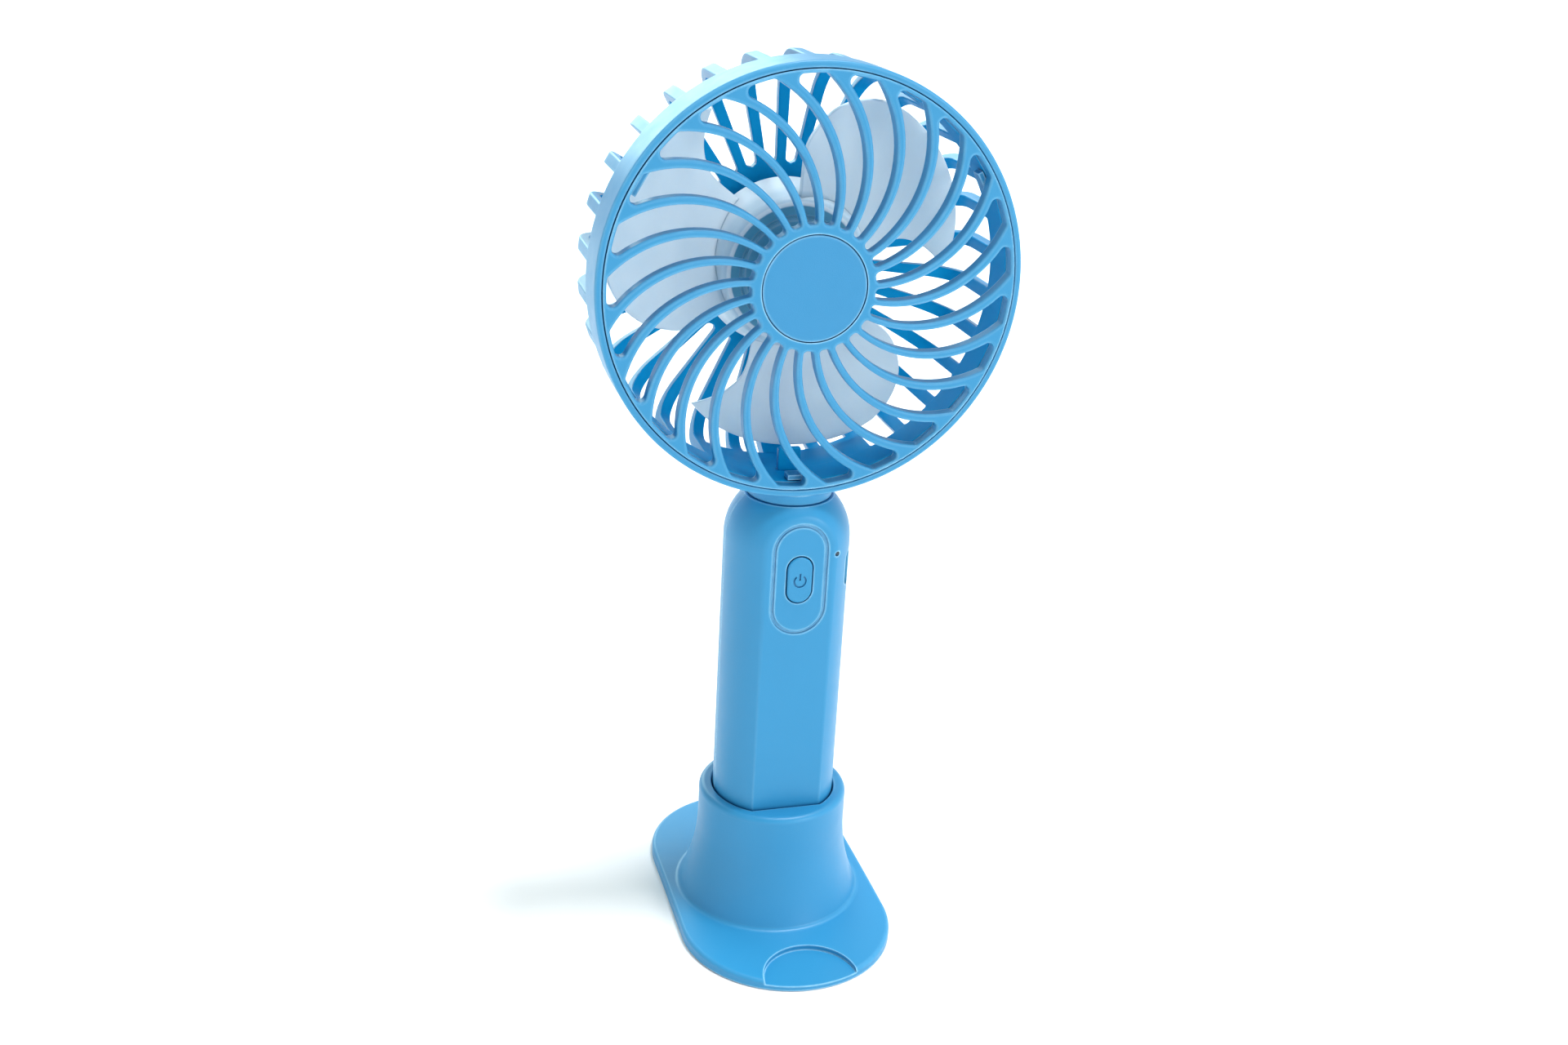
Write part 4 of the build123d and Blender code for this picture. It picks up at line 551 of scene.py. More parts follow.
def make_blade(turn):
    """One blade: a twisted sheet with a rounded rim."""
    rows, columns = 44, 26
    vertices = []
    for i in range(rows):
        for j in range(columns):
            along, out = i / (rows - 1), j / (columns - 1)
            angle, radius = blade_surface(along, out)
            share = angle / BLADE_SPAN
            y = BLADE_FRONT_Y + BLADE_RISE * (0.85 * share + 0.15 * share ** 2)
            y += BLADE_BELLY * sin(pi * out) * (0.3 + share)
            heading = radians(BLADE_START + angle + turn)
            vertices.append((radius * sin(heading), y, HEAD_Z + radius * cos(heading)))
    blade = scratch_object(vertices, grid_faces(rows, columns))
    shell = blade.modifiers.new("shell", "SOLIDIFY")
    shell.thickness = BLADE_T
    shell.offset = 0.0
    return baked_mesh(bevelled(blade, BLADE_ROUNDING, 50))


def arc_points(centre, radius, start, end, steps):
    """Points on an arc, angles in degrees from the first axis."""
    points = []
    for i in range(steps + 1):
        turn = radians(start + (end - start) * i / steps)
        points.append((centre[0] + radius * cos(turn), centre[1] + radius * sin(turn)))
    return points


def make_hub():
    """The hub cup: rounded nose, drafted wall, rounded rear lip, and rings sunk in its front."""
    nose, lip, inner_chamfer = 2.2 * MM, 0.6 * MM, 1.2 * MM
    front, rear = HUB_FRONT_Y, HUB_REAR_Y
    inner_front, inner_r = front + HUB_WALL, HUB_FRONT_R - HUB_WALL
    draft = HUB_REAR_R - HUB_FRONT_R
    dimple, sunk, half = 0.5 * MM, 0.3 * MM, 0.45 * MM
    eye = 0.02 * MM
    boss_y, boss_r = front + 2.6 * MM, 3.0 * MM
    profile = [(front + dimple, eye), (front + dimple, 2.4 * MM), (front, boss_r)]
    for ring_r in (7.6 * MM, 13.2 * MM):
        profile += [
            (front, ring_r - half),
            (front + sunk, ring_r - half * 0.6),
            (front + sunk, ring_r + half * 0.6),
            (front, ring_r + half),
        ]
    profile += arc_points((front + nose, HUB_FRONT_R - nose), nose, 180, 90, 8)
    profile += [(front + (rear - front) * k / 6, HUB_FRONT_R + draft * k / 6) for k in range(2, 6)]
    profile += arc_points((rear - lip, HUB_REAR_R - lip), lip, 80, 0, 4)
    profile += arc_points((rear - lip, HUB_REAR_R - HUB_WALL + lip), lip, 0, -80, 4)
    profile += [(inner_front + inner_chamfer, inner_r), (inner_front, inner_r - inner_chamfer)]
    profile += [(inner_front, 3.2 * MM), (boss_y, boss_r), (boss_y, eye)]
    return baked_mesh(lathe(profile, HEAD_CENTRE, 144))


def make_impeller():
    """The hub and its blades as one moulding."""
    blades = [make_blade(360 / BLADE_COUNT * k) for k in range(BLADE_COUNT)]
    mesh = join_meshes([make_hub()] + blades)
    finish_piece("impeller_moulding", mesh, "rotor", ["impeller"], frost, 40)


# ---- handle -----------------------------------------------------------------------------------
HANDLE_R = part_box("handle_rear_shell")[1].x
FLAT_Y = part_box("handle_front_shell")[0].y
FOOT_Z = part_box("handle_front_shell")[0].z
TOP_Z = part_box("handle_front_shell")[1].z
DOME_Z = 102.3 * MM
SEAM = 0.14 * MM
WALL = 1.8 * MM
BUTTON_LO, BUTTON_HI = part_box("switch_body")
BUTTON_Z = (BUTTON_LO.z + BUTTON_HI.z) / 2
GROOVE_HALF_W, GROOVE_HALF_H = 6.5 * MM, 13.9 * MM
GROOVE_W, GROOVE_DEPTH, GROOVE_FLARE = 0.8 * MM, 0.5 * MM, 0.3 * MM
BUTTON_HOLE_HALF_W, BUTTON_HOLE_HALF_H = 3.35 * MM, 6.15 * MM
LAMP_HOLE_R, LAMP_FLARE = 0.6 * MM, 0.35 * MM
LAMP_HOLE_END_Y = -8 * MM
PORT_HALF_W, PORT_HALF_H = 1.8 * MM, 4.5 * MM
PORT_OVERLAP = 0.9 * MM       # how far the slot's cutter reaches over the socket's mouth
SPIGOT_HOLE_R = 6.65 * MM
SPIGOT_HOLE_DEPTH = 6 * MM
SCREW_PLACES = ((0.0, 9 * MM), (-7 * MM, 106 * MM), (7 * MM, 106 * MM))
SCREW_SEAT_Y = 9.6 * MM
SCREW_SEAT_R, SCREW_HOLE_R, SCREW_BOSS_R = 2.2 * MM, 1.15 * MM, 3 * MM
SCREW_SEAT_T = 1.2 * MM
BOSS_INSET = 0.9 * MM         # how far inside the handle's back a screw's boss ends
BEHIND_Y = 20 * MM            # clear of the handle's back
NEAR_AXIS = 0.001 * MM        # a lathed cutter's smallest radius
PAST = 1 * MM                 # how far a cutter stands out of what it cuts


def crease_radius(height):
    """The edge between the flat and the round sides: crisp at the foot, soft at the top."""
    foot, growth, power = 0.45, 2.3, 2.2
    share = min(max((height - FOOT_Z) / (DOME_Z - FOOT_Z), 0.0), 1.0)
    return (foot + growth * share ** power) * MM


def front_section(crease):
    """Half the front shell's section, (x, y), from the flat's edge round to the seam."""
    depth = -FLAT_Y
    centre_x = sqrt((HANDLE_R - crease) ** 2 - (depth - crease) ** 2)
    centre = (centre_x, -(depth - crease))
    meet = atan2(centre[1], centre[0])
    points = arc_points(centre, crease, -90, meet * 180 / pi, 8)
    side = arc_points((0, 0), HANDLE_R, meet * 180 / pi, -SEAM / HANDLE_R * 180 / pi, 26)
    return points + side[1:] + [(HANDLE_R - SEAM, 0.0)]


def rear_section(crease):
    """Half the rear shell's section, from the seam round to the back, with no crease in it."""
    return [(HANDLE_R - SEAM, 0.0)] + arc_points((0, 0), HANDLE_R, SEAM / HANDLE_R * 180 / pi, 90, 40)


def sweep_handle(section):
    """The section up one side, over the round top and down the other side."""
    leg_rows, arch_rows = 40, 56
    foot_in = 0.5 * MM
    leg_foot = FOOT_Z + foot_in
    stations = [(0.0, FOOT_Z, foot_in), (0.0, leg_foot, 0.0)]
    leg = DOME_Z - FOOT_Z - foot_in
    stations += [(0.0, leg_foot + leg * k / leg_rows, 0.0) for k in range(1, leg_rows)]
    mirrored = [(pi, height, inset) for _, height, inset in reversed(stations)]
    arch = [(pi * k / arch_rows, DOME_Z, 0.0) for k in range(arch_rows + 1)]
    vertices = []
    columns = 0
    for turn, height, inset in stations + arch + mirrored:
        points = section(crease_radius(height))
        columns = len(points)
        shrink = 1 - inset / HANDLE_R
        for x, y in points:
            vertices.append((x * shrink * cos(turn), y * shrink, height + x * sin(turn)))
    return vertices, len(stations) * 2 + len(arch), columns


def trim_top(target):
    """Cuts the round top level for the neck and closes it."""
    work = bmesh.new()
    work.from_mesh(target.data)
    everything = work.verts[:] + work.edges[:] + work.faces[:]
    result = bmesh.ops.bisect_plane(
        work, geom=everything, plane_co=(0, 0, TOP_Z), plane_no=(0, 0, 1), clear_outer=True
    )
    rim = [e for e in result["geom_cut"] if isinstance(e, bmesh.types.BMEdge)]
    ends = [v for v in {v for e in rim for v in e.verts} if sum(e in rim for e in v.link_edges) == 1]
    if len(ends) == 2:
        rim.append(work.edges.new(ends))
    bmesh.ops.edgeloop_fill(work, edges=rim)
    bmesh.ops.recalc_face_normals(work, faces=work.faces)
    work.to_mesh(target.data)
    work.free()


def pill_cutter(loops, closed=False):
    """A cutter along Y through pill outlines round the button: each loop is (half width, half height, y)."""
    vertices = []
    columns = 0
    for half_w, half_h, y in loops:
        points = pill(half_w, half_h)
        columns = len(points)
        vertices += [(x, y, BUTTON_Z + z) for x, z in points]
    faces = grid_faces(len(loops), columns, closed, True)
    if not closed:
        faces += [tuple(range(columns)), tuple(range(len(vertices) - columns, len(vertices)))]
    return scratch_object(vertices, faces)


def groove_cutter():
    """The pill groove round the button, its mouth flared and its walls drafted."""
    half, draft = GROOVE_W / 2, 0.1 * MM
    mouth_y, flare_y = -0.1 * MM, 0.16 * MM
    section = [
        (half + GROOVE_FLARE, mouth_y),
        (half, flare_y),
        (half - draft, GROOVE_DEPTH),
        (draft - half, GROOVE_DEPTH),
        (-half, flare_y),
        (-half - GROOVE_FLARE, mouth_y),
    ]
    return pill_cutter([(GROOVE_HALF_W + g, GROOVE_HALF_H + g, FLAT_Y + y) for g, y in section], True)


def button_cutter():
    """The button's hole, its mouth flared."""
    half_w, half_h = BUTTON_HOLE_HALF_W, BUTTON_HOLE_HALF_H
    flare = 0.2 * MM
    return pill_cutter([
        (half_w + flare, half_h + flare, FLAT_Y - 0.1 * MM),
        (half_w, half_h, FLAT_Y + 0.14 * MM),
        (half_w, half_h, FLAT_Y + 3 * MM),
    ])


def round_cutter(x, z, radius, near_y, far_y, flare=0.0, flare_y=0.0):
    """A round cutter along Y, flared towards near_y."""
    profile = [
        (near_y, NEAR_AXIS), (near_y, radius + flare), (flare_y, radius), (far_y, radius), (far_y, NEAR_AXIS),
    ]
    return lathe(profile, (x, 0, z), 36)


def port_cutter():
    """The slot in the handle's side in front of the charging socket."""
    low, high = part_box("port_shell")
    middle_y, middle_z = (low.y + high.y) / 2, (low.z + high.z) / 2
    points = pill(PORT_HALF_W, PORT_HALF_H)
    vertices = []
    for x in (high.x - PORT_OVERLAP, HANDLE_R + PAST):
        vertices += [(x, middle_y + a, middle_z + b) for a, b in points]
    count = len(points)
    faces = grid_faces(2, count, False, True) + [tuple(range(count)), tuple(range(count, 2 * count))]
    return scratch_object(vertices, faces)


def spigot_cutter():
    """The hole in the handle's top for the neck's spigot."""
    low, high = TOP_Z - SPIGOT_HOLE_DEPTH, TOP_Z + PAST
    profile = [(low, NEAR_AXIS), (low, SPIGOT_HOLE_R), (high, SPIGOT_HOLE_R), (high, NEAR_AXIS)]
    return lathe(profile, (0, 0, 0), 64, "Z")


def thicken(target):
    """Hollows a closed shape to the wall's thickness, inwards."""
    shell = target.modifiers.new("shell", "SOLIDIFY")
    shell.thickness = WALL
    shell.offset = -1.0
    shell.use_even_offset = True


def make_handle_front():
    """The flat front half with its groove, button hole, lamp hole and charging slot."""
    vertices, rows, columns = sweep_handle(front_section)
    faces = grid_faces(rows, columns)
    # the flat, the slope between it and the foot, and the foot
    faces.append(tuple(row * columns for row in range(1, rows - 1)))
    faces.append((0, columns, (rows - 2) * columns, (rows - 1) * columns))
    faces.append(tuple(range(columns)) + tuple(range(rows * columns - 1, (rows - 1) * columns - 1, -1)))
    front = scratch_object(vertices, faces)
    trim_top(front)
    thicken(front)
    lamp_lo, lamp_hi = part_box("lamp_pipe")
    lamp_x, lamp_z = (lamp_lo.x + lamp_hi.x) / 2, (lamp_lo.z + lamp_hi.z) / 2
    lamp_flare_y = lamp_lo.y - 0.1 * MM
    lamp_cut = round_cutter(
        lamp_x, lamp_z, LAMP_HOLE_R, FLAT_Y - PAST, LAMP_HOLE_END_Y, LAMP_FLARE, lamp_flare_y
    )
    mesh = cut(front, [groove_cutter(), button_cutter(), lamp_cut, port_cutter(), spigot_cutter()])
    finish_piece("handle_front", mesh, "fan", ["handle_front_shell"], blue)


def make_handle_rear():
    """The round rear half with three sunk screw seats."""
    vertices, rows, columns = sweep_handle(rear_section)
    faces = grid_faces(rows, columns)
    # the foot
    faces.append(tuple(range(columns)) + tuple(range(rows * columns - 1, (rows - 1) * columns - 1, -1)))
    rear = scratch_object(vertices, faces, 1e-5)
    trim_top(rear)
    thicken(rear)
    seat_y, seat_foot = SCREW_SEAT_Y, SCREW_SEAT_Y - SCREW_SEAT_T
    middle_y = 12 * MM
    holes = [round_cutter(x, z, SCREW_SEAT_R, BEHIND_Y, seat_y, 0.0, middle_y) for x, z in SCREW_PLACES]
    parts = [cut(rear, holes + [spigot_cutter()])]
    for x, z in SCREW_PLACES:
        outer = sqrt(HANDLE_R ** 2 - x ** 2 - max(z - DOME_Z, 0) ** 2) - BOSS_INSET
        tube = [
            (seat_foot, SCREW_HOLE_R), (seat_foot, SCREW_BOSS_R), (outer, SCREW_BOSS_R),
            (outer, SCREW_SEAT_R), (seat_y, SCREW_SEAT_R), (seat_y, SCREW_HOLE_R),
        ]
        parts.append(baked_mesh(lathe(tube, (x, 0, z), 36)))
    finish_piece("handle_rear", join_meshes(parts), "fan", ["handle_rear_shell"], blue)


# ---- head shell: band, fins, plate, motor pocket, neck ---------------------------------------
HEAD_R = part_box("head_housing")[1].x
BAND_FRONT_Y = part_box("head_housing")[0].y
REAR_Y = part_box("head_housing")[1].y
BAND_REAR_Y = 1.0 * MM
BAND_INNER_R = 47.0 * MM
SEAT_R = 48.35 * MM
FIN_OUTER_R = 49.7 * MM
FIN_T = 2.6 * MM
FIN_COUNT = 30
BEND_R = 10.5 * MM
PLATE_R = 22.5 * MM
POCKET_R = 14.4 * MM
POCKET_FRONT_Y = 7.0 * MM
SADDLE_REAR_Y = 12.5 * MM
BAND_LAP = 0.8 * MM           # how far the fins and the saddle reach into the band
NECK_R = 10.3 * MM
SPIGOT_R, SPIGOT_FLANGE_R = 6.5 * MM, 9.0 * MM
WIRE_BORE_R = 2.4 * MM
DUCT_HALF_W = 3.2 * MM


def slot_half_width(radius):
    """Half the gap between two fins at a radius: a wedge with a round inner end."""
    foot_w, top_w = 1.35 * MM, 4.22 * MM
    foot_r, top_r = PLATE_R + foot_w, HEAD_R + 6 * MM
    if radius < foot_r:
        return sqrt(max(foot_w ** 2 - (foot_r - radius) ** 2, 0.0))
    return foot_w + (top_w - foot_w) * (radius - foot_r) / (top_r - foot_r)


def fin_half_width(radius, from_band):
    """Half a fin's width; it spreads where it grows out of the band."""
    half_pitch = pi / FIN_COUNT
    spread = 1.0 * MM
    half = radius * sin(half_pitch) - slot_half_width(radius) * cos(half_pitch)
    if from_band < spread:
        half += spread - sqrt(max(spread ** 2 - (spread - max(from_band, 0.0)) ** 2, 0.0))
    return half


def rounded_rectangle(half_a, half_b, corner, steps=4):
    """Points round a rectangle with round corners."""
    points = []
    for k, (sign_a, sign_b) in enumerate(((1, 1), (-1, 1), (-1, -1), (1, -1))):
        centre_a, centre_b = sign_a * (half_a - corner), sign_b * (half_b - corner)
        for i in range(steps + 1):
            turn = pi / 2 * (k + i / steps)
            points.append((centre_a + corner * cos(turn), centre_b + corner * sin(turn)))
    return points


def fin_stations():
    """Middle line of a fin as (y, radius, direction of its outer face, distance from the band)."""
    middle_r = FIN_OUTER_R - FIN_T / 2
    bend_y, bend_r = REAR_Y - BEND_R, FIN_OUTER_R - BEND_R
    stations = []
    start_y = BAND_REAR_Y - BAND_LAP
    side_rows, bend_rows, rear_rows = 14, 10, 18
    # rows stand closer near the band and near the plate
    side_crowding, rear_crowding = 1.6, 1.8
    for k in range(side_rows + 1):
        share = (k / side_rows) ** side_crowding
        y = start_y + (bend_y - start_y) * share
        stations.append((y, middle_r, (0.0, 1.0), y - BAND_REAR_Y))
    for k in range(1, bend_rows + 1):
        turn = pi / 2 * k / bend_rows
        reach = BEND_R - FIN_T / 2
        direction = (sin(turn), cos(turn))
        stations.append((bend_y + reach * direction[0], bend_r + reach * direction[1], direction, BEND_R))
    end_r = PLATE_R - 0.3 * MM
    for k in range(1, rear_rows + 1):
        share = 1 - (1 - k / rear_rows) ** rear_crowding
        stations.append((REAR_Y - FIN_T / 2, bend_r + (end_r - bend_r) * share, (1.0, 0.0), BEND_R))
    return stations


def around_head(angle, y, radius, across=0.0):
    """A point at an angle clockwise from the top seen from the front, and across that direction."""
    return (
        radius * sin(angle) + across * cos(angle),
        y,
        HEAD_Z + radius * cos(angle) - across * sin(angle),
    )


def make_fin(angle):
    """One fin, from the band back and round the bend to the rear plate."""
    vertices = []
    stations = fin_stations()
    columns = 0
    edge_r = 0.45 * MM
    for y, radius, direction, from_band in stations:
        section = rounded_rectangle(FIN_T / 2, fin_half_width(radius, from_band), edge_r)
        columns = len(section)
        for out, across in section:
            vertices.append(around_head(angle, y + out * direction[0], radius + out * direction[1], across))
    faces = grid_faces(len(stations), columns, False, True)
    faces += [tuple(range(columns)), tuple(range(len(vertices) - columns, len(vertices)))]
    return baked_mesh(scratch_object(vertices, faces))


def rounded_profile(corners, steps=4):
    """A closed profile from (along, radius, rounding) corners."""
    points = []
    count = len(corners)
    for k in range(count):
        here = Vector(corners[k][:2])
        back = (Vector(corners[k - 1][:2]) - here)
        ahead = (Vector(corners[(k + 1) % count][:2]) - here)
        rounding = min(corners[k][2], back.length * 0.45, ahead.length * 0.45)
        if rounding <= 0:
            points.append(tuple(here))
            continue
        start, end = here + back.normalized() * rounding, here + ahead.normalized() * rounding
        for i in range(steps + 1):
            t = i / steps
            points.append(tuple(start * (1 - t) ** 2 + here * 2 * t * (1 - t) + end * t ** 2))
    return points


def make_band():
    """The outer ring with the grille's seat in its front."""
    front, rear = BAND_FRONT_Y, BAND_REAR_Y
    shoulder_y = front + 2.8 * MM
    return baked_mesh(lathe(rounded_profile([
        (shoulder_y, BAND_INNER_R, 0.25 * MM),
        (shoulder_y, SEAT_R, 0.0),
        (front, SEAT_R, 0.45 * MM),
        (front, HEAD_R, 1.3 * MM),
        (rear, HEAD_R, 0.5 * MM),
        (rear, BAND_INNER_R, 0.4 * MM),
    ]), HEAD_CENTRE, 240))


def make_saddle():
    """The closed wall above the neck, between the fins at both its sides."""
    half_angle = 4 * pi / FIN_COUNT
    steps = 40
    profile = rounded_profile([
        (BAND_REAR_Y - BAND_LAP, FIN_OUTER_R - FIN_T, 0.0),
        (BAND_REAR_Y - BAND_LAP, FIN_OUTER_R, 0.0),
        (SADDLE_REAR_Y, FIN_OUTER_R, 0.5 * MM),
        (SADDLE_REAR_Y, FIN_OUTER_R - FIN_T, 0.5 * MM),
    ])
    vertices = []
    for k in range(steps + 1):
        angle = pi - half_angle + 2 * half_angle * k / steps
        vertices += [around_head(angle, y, radius) for y, radius in profile]
    count = len(profile)
    faces = grid_faces(steps + 1, count, False, True)
    faces += [tuple(range(count)), tuple(range(steps * count, (steps + 1) * count))]
    return baked_mesh(scratch_object(vertices, faces))


def box_object(low, high):
    """A box for cutting or rounding."""
    x0, y0, z0 = low
    x1, y1, z1 = high
    vertices = [(x, y, z) for x in (x0, x1) for y in (y0, y1) for z in (z0, z1)]
    faces = [(0, 1, 3, 2), (4, 6, 7, 5), (0, 4, 5, 1), (2, 3, 7, 6), (0, 2, 6, 4), (1, 5, 7, 3)]
    return scratch_object(vertices, faces)


def tail_cutter():
    """The recess of the rear cover's tail."""
    half_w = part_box("motor_wire_red")[1].x + 1.1 * MM
    low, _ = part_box("rear_cover")
    return box_object((-half_w, low.y, low.z - 0.15 * MM), (half_w, REAR_Y + PAST, HEAD_Z))


def make_duct():
    """The wire duct's body, from the plate round the bend to the saddle."""
    bend_y, bend_r = REAR_Y - BEND_R, FIN_OUTER_R - BEND_R
    front_y = 18.9 * MM
    inner_r = FIN_OUTER_R - FIN_T
    outline = [
        (REAR_Y, PLATE_R - 1 * MM), (front_y, PLATE_R - 1 * MM), (front_y, bend_r + 4.5 * MM),
        (bend_y, inner_r), (BAND_REAR_Y, inner_r), (BAND_REAR_Y, FIN_OUTER_R), (bend_y, FIN_OUTER_R),
    ]
    bend_rows = 12
    for k in range(1, bend_rows + 1):
        turn = pi / 2 * k / bend_rows
        outline.append((bend_y + BEND_R * sin(turn), bend_r + BEND_R * cos(turn)))
    vertices = [around_head(pi, y, radius, side * DUCT_HALF_W) for side in (-1, 1) for y, radius in outline]
    count = len(outline)
    faces = grid_faces(2, count, False, True) + [tuple(range(count)), tuple(range(count, 2 * count))]
    return cut(bevelled(scratch_object(vertices, faces), 0.35 * MM), [tail_cutter()])


def make_rear_plate():
    """The round plate that holds the fins' inner ends, with the rear cover's seat."""
    cover_lo, cover_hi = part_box("rear_cover")
    seat_r = cover_hi.x + 0.15 * MM
    seat_y = cover_lo.y
    inner_y = REAR_Y - FIN_T
    plate = lathe(rounded_profile([
        (inner_y, POCKET_R - 1 * MM, 0.0),
        (inner_y, PLATE_R, 0.45 * MM),
        (REAR_Y, PLATE_R, 0.45 * MM),
        (REAR_Y, seat_r, 0.3 * MM),
        (seat_y, seat_r, 0.0),
        (seat_y, POCKET_R - 1 * MM, 0.0),
    ]), HEAD_CENTRE, 180)
    return cut(plate, [tail_cutter()])


def make_pocket():
    """The motor pocket, open at the rear."""
    front, floor_t = POCKET_FRONT_Y, 1.2 * MM
    rear = REAR_Y - 2 * MM
    hole_r, inner_r = 3.4 * MM, 12.35 * MM
    return baked_mesh(lathe(rounded_profile([
        (front, hole_r, 0.2 * MM),
        (front, POCKET_R, 0.8 * MM),
        (rear, POCKET_R, 0.0),
        (rear, inner_r, 0.0),
        (front + floor_t, inner_r, 0.0),
        (front + floor_t, hole_r, 0.0),
    ]), HEAD_CENTRE, 120))


def make_neck():
    """The neck between head and handle, and the flanged spigot under it."""
    top = HEAD_Z - HEAD_R + 1.2 * MM
    foot, flange_top, spigot_foot = TOP_Z, TOP_Z - 2.1 * MM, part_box("head_housing")[0].z
    return baked_mesh(lathe(rounded_profile([
        (spigot_foot, WIRE_BORE_R, 0.0),
        (spigot_foot, SPIGOT_FLANGE_R, 0.4 * MM),
        (flange_top, SPIGOT_FLANGE_R, 0.2 * MM),
        (flange_top, SPIGOT_R, 0.0),
        (foot, SPIGOT_R, 0.0),
        (foot, NECK_R, 0.45 * MM),
        (top, NECK_R, 0.0),
        (top, WIRE_BORE_R, 0.0),
    ]), (0, 0, 0), 120, "Z"))


def make_latch_post():
    """The block inside the band's foot that the grille latches on."""
    left, right, half_t = -3.4 * MM, 2.2 * MM, 0.9 * MM
    inside_z = HEAD_Z - BAND_INNER_R
    low, high = (left, -half_t, inside_z - 1 * MM), (right, half_t, inside_z + 5.6 * MM)
    return baked_mesh(bevelled(box_object(low, high), 0.35 * MM))


def paint_inside_shade(mesh, material):
    """A material with painted shade and bounce light for the walls inside the head: they face its axis, or
    forward.
    """
    outermost_r, foremost_y = BAND_INNER_R + 0.5 * MM, BAND_REAR_Y - 3 * MM
    facing = 0.5
    mesh.materials.append(material)
    for face in mesh.polygons:
        across = Vector((face.center.x, 0.0, face.center.z - HEAD_Z))
        if across.length > outermost_r:
            continue
        to_axis = -face.normal.dot(across.normalized())
        to_front = -face.normal.y if face.center.y > foremost_y else 0.0
        if max(to_axis, to_front) > facing:
            face.material_index = 1


def make_head_shell():
    """Band, fins, rear plate, wire duct, motor pocket and neck as one moulding."""
    parts = [make_band(), make_saddle(), make_duct(), make_rear_plate()]
    parts += [make_pocket(), make_neck(), make_latch_post()]
    # the duct stands in place of the lowest fin
    parts += [make_fin(2 * pi * k / FIN_COUNT) for k in range(FIN_COUNT) if 2 * k != FIN_COUNT]
    shell = finish_piece("head_shell", join_meshes(parts), "fan", ["head_housing"], blue, 40)
    # painted shade and bounce light on the walls inside the head
    paint_inside_shade(shell.data, inside_shade_blue)


# ---- button ------------------------------------------------------------------------------------
def make_button():
    """The cap with a rounded rim and a power mark sunk in it: an open ring and a bar."""
    low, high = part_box("power_button")
    half_w, half_h = 3.1 * MM, 5.9 * MM
    ledge, rim_r, rim_rows = 0.9 * MM, 0.5 * MM, 5
    wall_y = FLAT_Y + WALL + 0.15 * MM
    loops = [
        (half_w + ledge, half_h + ledge, high.y),
        (half_w + ledge, half_h + ledge, wall_y),
        (half_w, half_h, wall_y),
        (half_w, half_h, low.y + rim_r),
    ]
    for k in range(1, rim_rows + 1):
        turn = pi / 2 * k / rim_rows
        inset = rim_r * (1 - cos(turn))
        loops.append((half_w - inset, half_h - inset, low.y + rim_r * (1 - sin(turn))))
    cap = pill_cutter(loops)
    depth = 0.3 * MM
    mark_z = BUTTON_Z - 0.2 * MM
    gap = radians(38)
    ring_out, ring_in, bar = 1.66 * MM, 1.22 * MM, 0.22 * MM
    bar_foot, bar_top = mark_z + 0.2 * MM, mark_z + 1.95 * MM
    near_y, far_y = low.y - depth, low.y + depth
    section = ((ring_out, near_y), (ring_out, far_y), (ring_in, far_y), (ring_in, near_y))
    steps = 40
    vertices = []
    for k in range(steps + 1):
        turn = gap + (2 * pi - 2 * gap) * k / steps
        vertices += [(radius * sin(turn), y, mark_z + radius * cos(turn)) for radius, y in section]
    count = len(section)
    faces = grid_faces(steps + 1, count, False, True)
    faces += [tuple(range(count)), tuple(range(steps * count, (steps + 1) * count))]
    ring = scratch_object(vertices, faces)
    stroke = box_object((-bar, near_y, bar_foot), (bar, far_y, bar_top))
    mesh = cut(cap, [ring, stroke])
    finish_piece("button_cap", mesh, "button", ["power_button"], button_blue, 40)


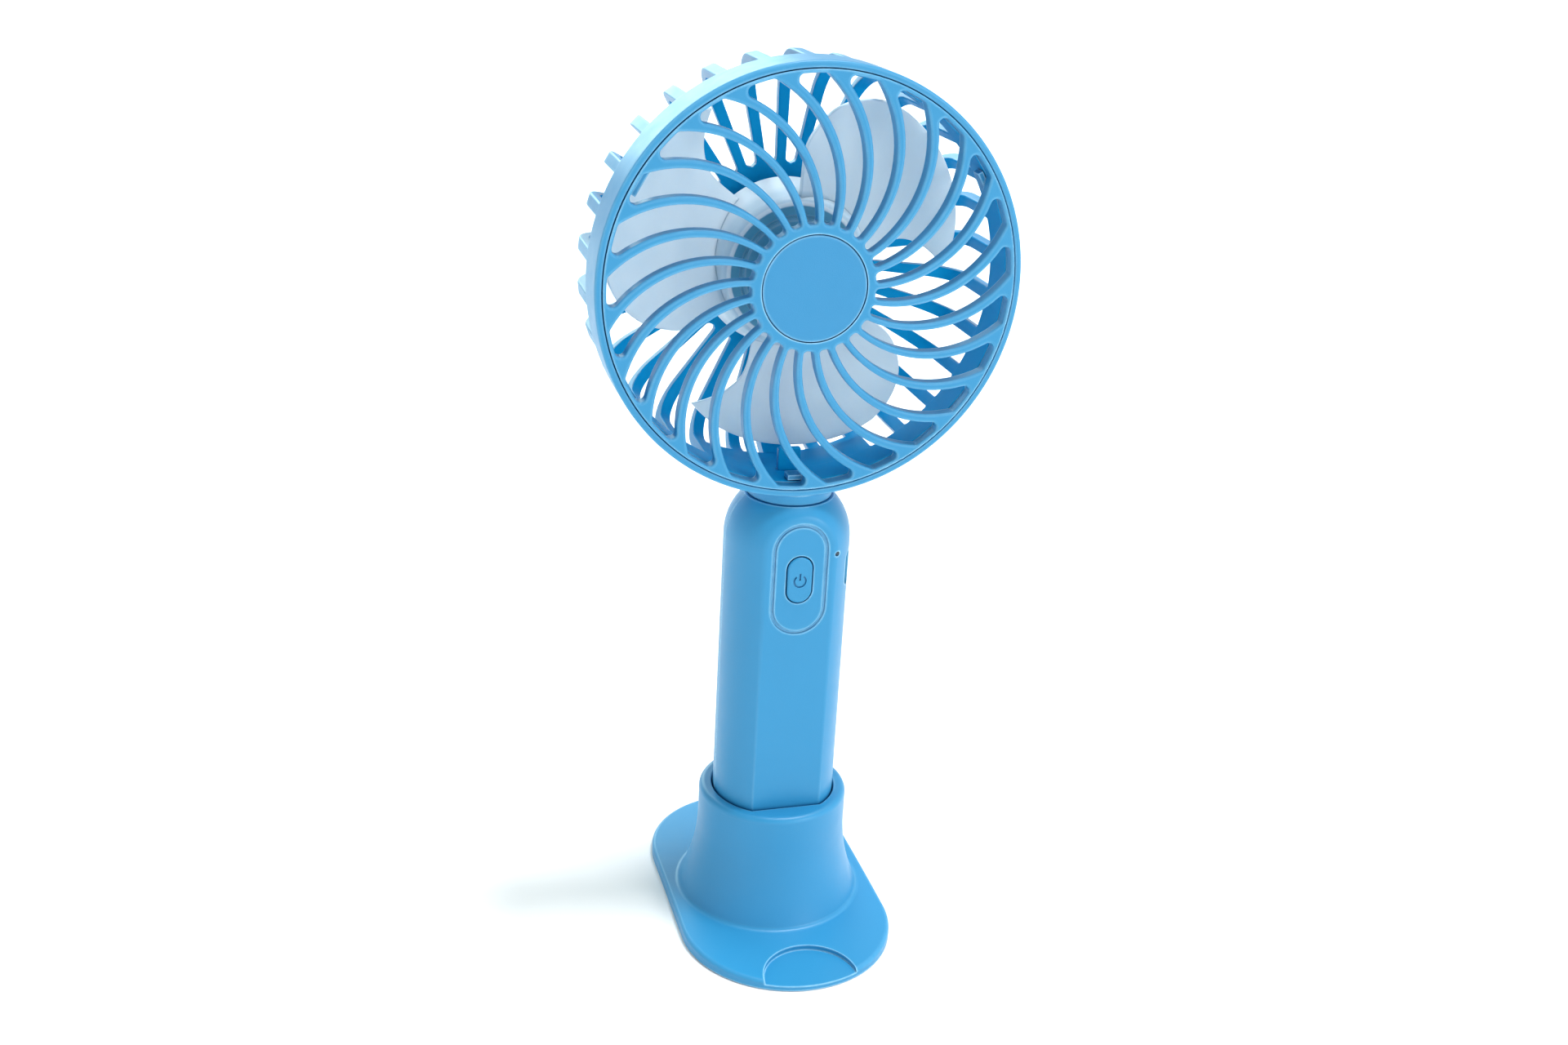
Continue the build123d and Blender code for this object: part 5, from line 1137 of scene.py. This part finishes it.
make_camera()
make_world()
make_floor()
make_lights()
blue = moulded_plastic("blue_satin", SKY_BLUE, 0.38, 0.25, EDGE_BLUE, GAP_SHADE_BLUE, 0.36)
stand_blue = moulded_plastic("blue_stand", SKY_BLUE, 0.38, 0.25, EDGE_BLUE, None, 0.36)
button_blue = moulded_plastic("blue_cap", SKY_BLUE, 0.38, 0.25, None, GAP_SHADE_BLUE, 0.36)
inside_shade_blue = moulded_plastic("blue_inside_painted_shade", INSIDE_SHADE_BLUE, 0.5, 0.25, None, GAP_SHADE_BLUE, 0.06)
badge_blue = moulded_plastic("blue_matte", SKY_BLUE_DEEP, 0.55, 0.6, BADGE_HIGHLIGHT_BLUE, GAP_SHADE_BLUE)
frost = frosted_plastic("frosted")
steel = metal("plated_steel", PLATED_STEEL, 0.35)
screw = metal("screw_steel", SCREW_STEEL, 0.3)
nickel = metal("nickel", NICKEL, 0.25)
bronze = metal("bronze", BRONZE, 0.4)
copper = metal("copper_wire", COPPER, 0.3, 2500, 0.5)
ferrite = moulded_plastic("ferrite", FERRITE, 0.6, 0.8)
white = moulded_plastic("white_nylon", WHITE, 0.45, 0.3)
black = moulded_plastic("black_plastic", BLACK, 0.4, 0.3)
board = moulded_plastic("solder_mask", BOARD_GREEN, 0.25, 0.1)
sleeve = moulded_plastic("shrink_film", SLEEVE_GREEN, 0.25, 0.15)
foam = moulded_plastic("foam", FOAM_BLACK, 0.9, 1.0)
lamp = moulded_plastic("lamp_lens", LENS_BLUE, 0.2, 0.1)
red = moulded_plastic("wire_red", WIRE_RED, 0.35, 0.1)
dark = moulded_plastic("wire_black", WIRE_BLACK, 0.35, 0.1)

FINISH = {
    "blue_shell": blue, "blue_button": blue, "blue_badge": badge_blue, "frosted_plastic": frost,
    "motor_steel": steel, "shaft_steel": steel, "screw_steel": screw, "nickel": nickel, "bronze": bronze,
    "copper": copper, "magnet": ferrite, "white_plastic": white, "black_plastic": black, "green_board": board,
    "sleeve": sleeve, "foam": foam, "lamp": lamp, "wire_red": red, "wire_black": dark,
}
for part in frame["record"]["subparts"]:
    paint(part["node"], FINISH[part["material_slot"]])
paint("stand_base", stand_blue)

make_impeller()
make_handle_front()
make_handle_rear()
make_head_shell()
make_button()
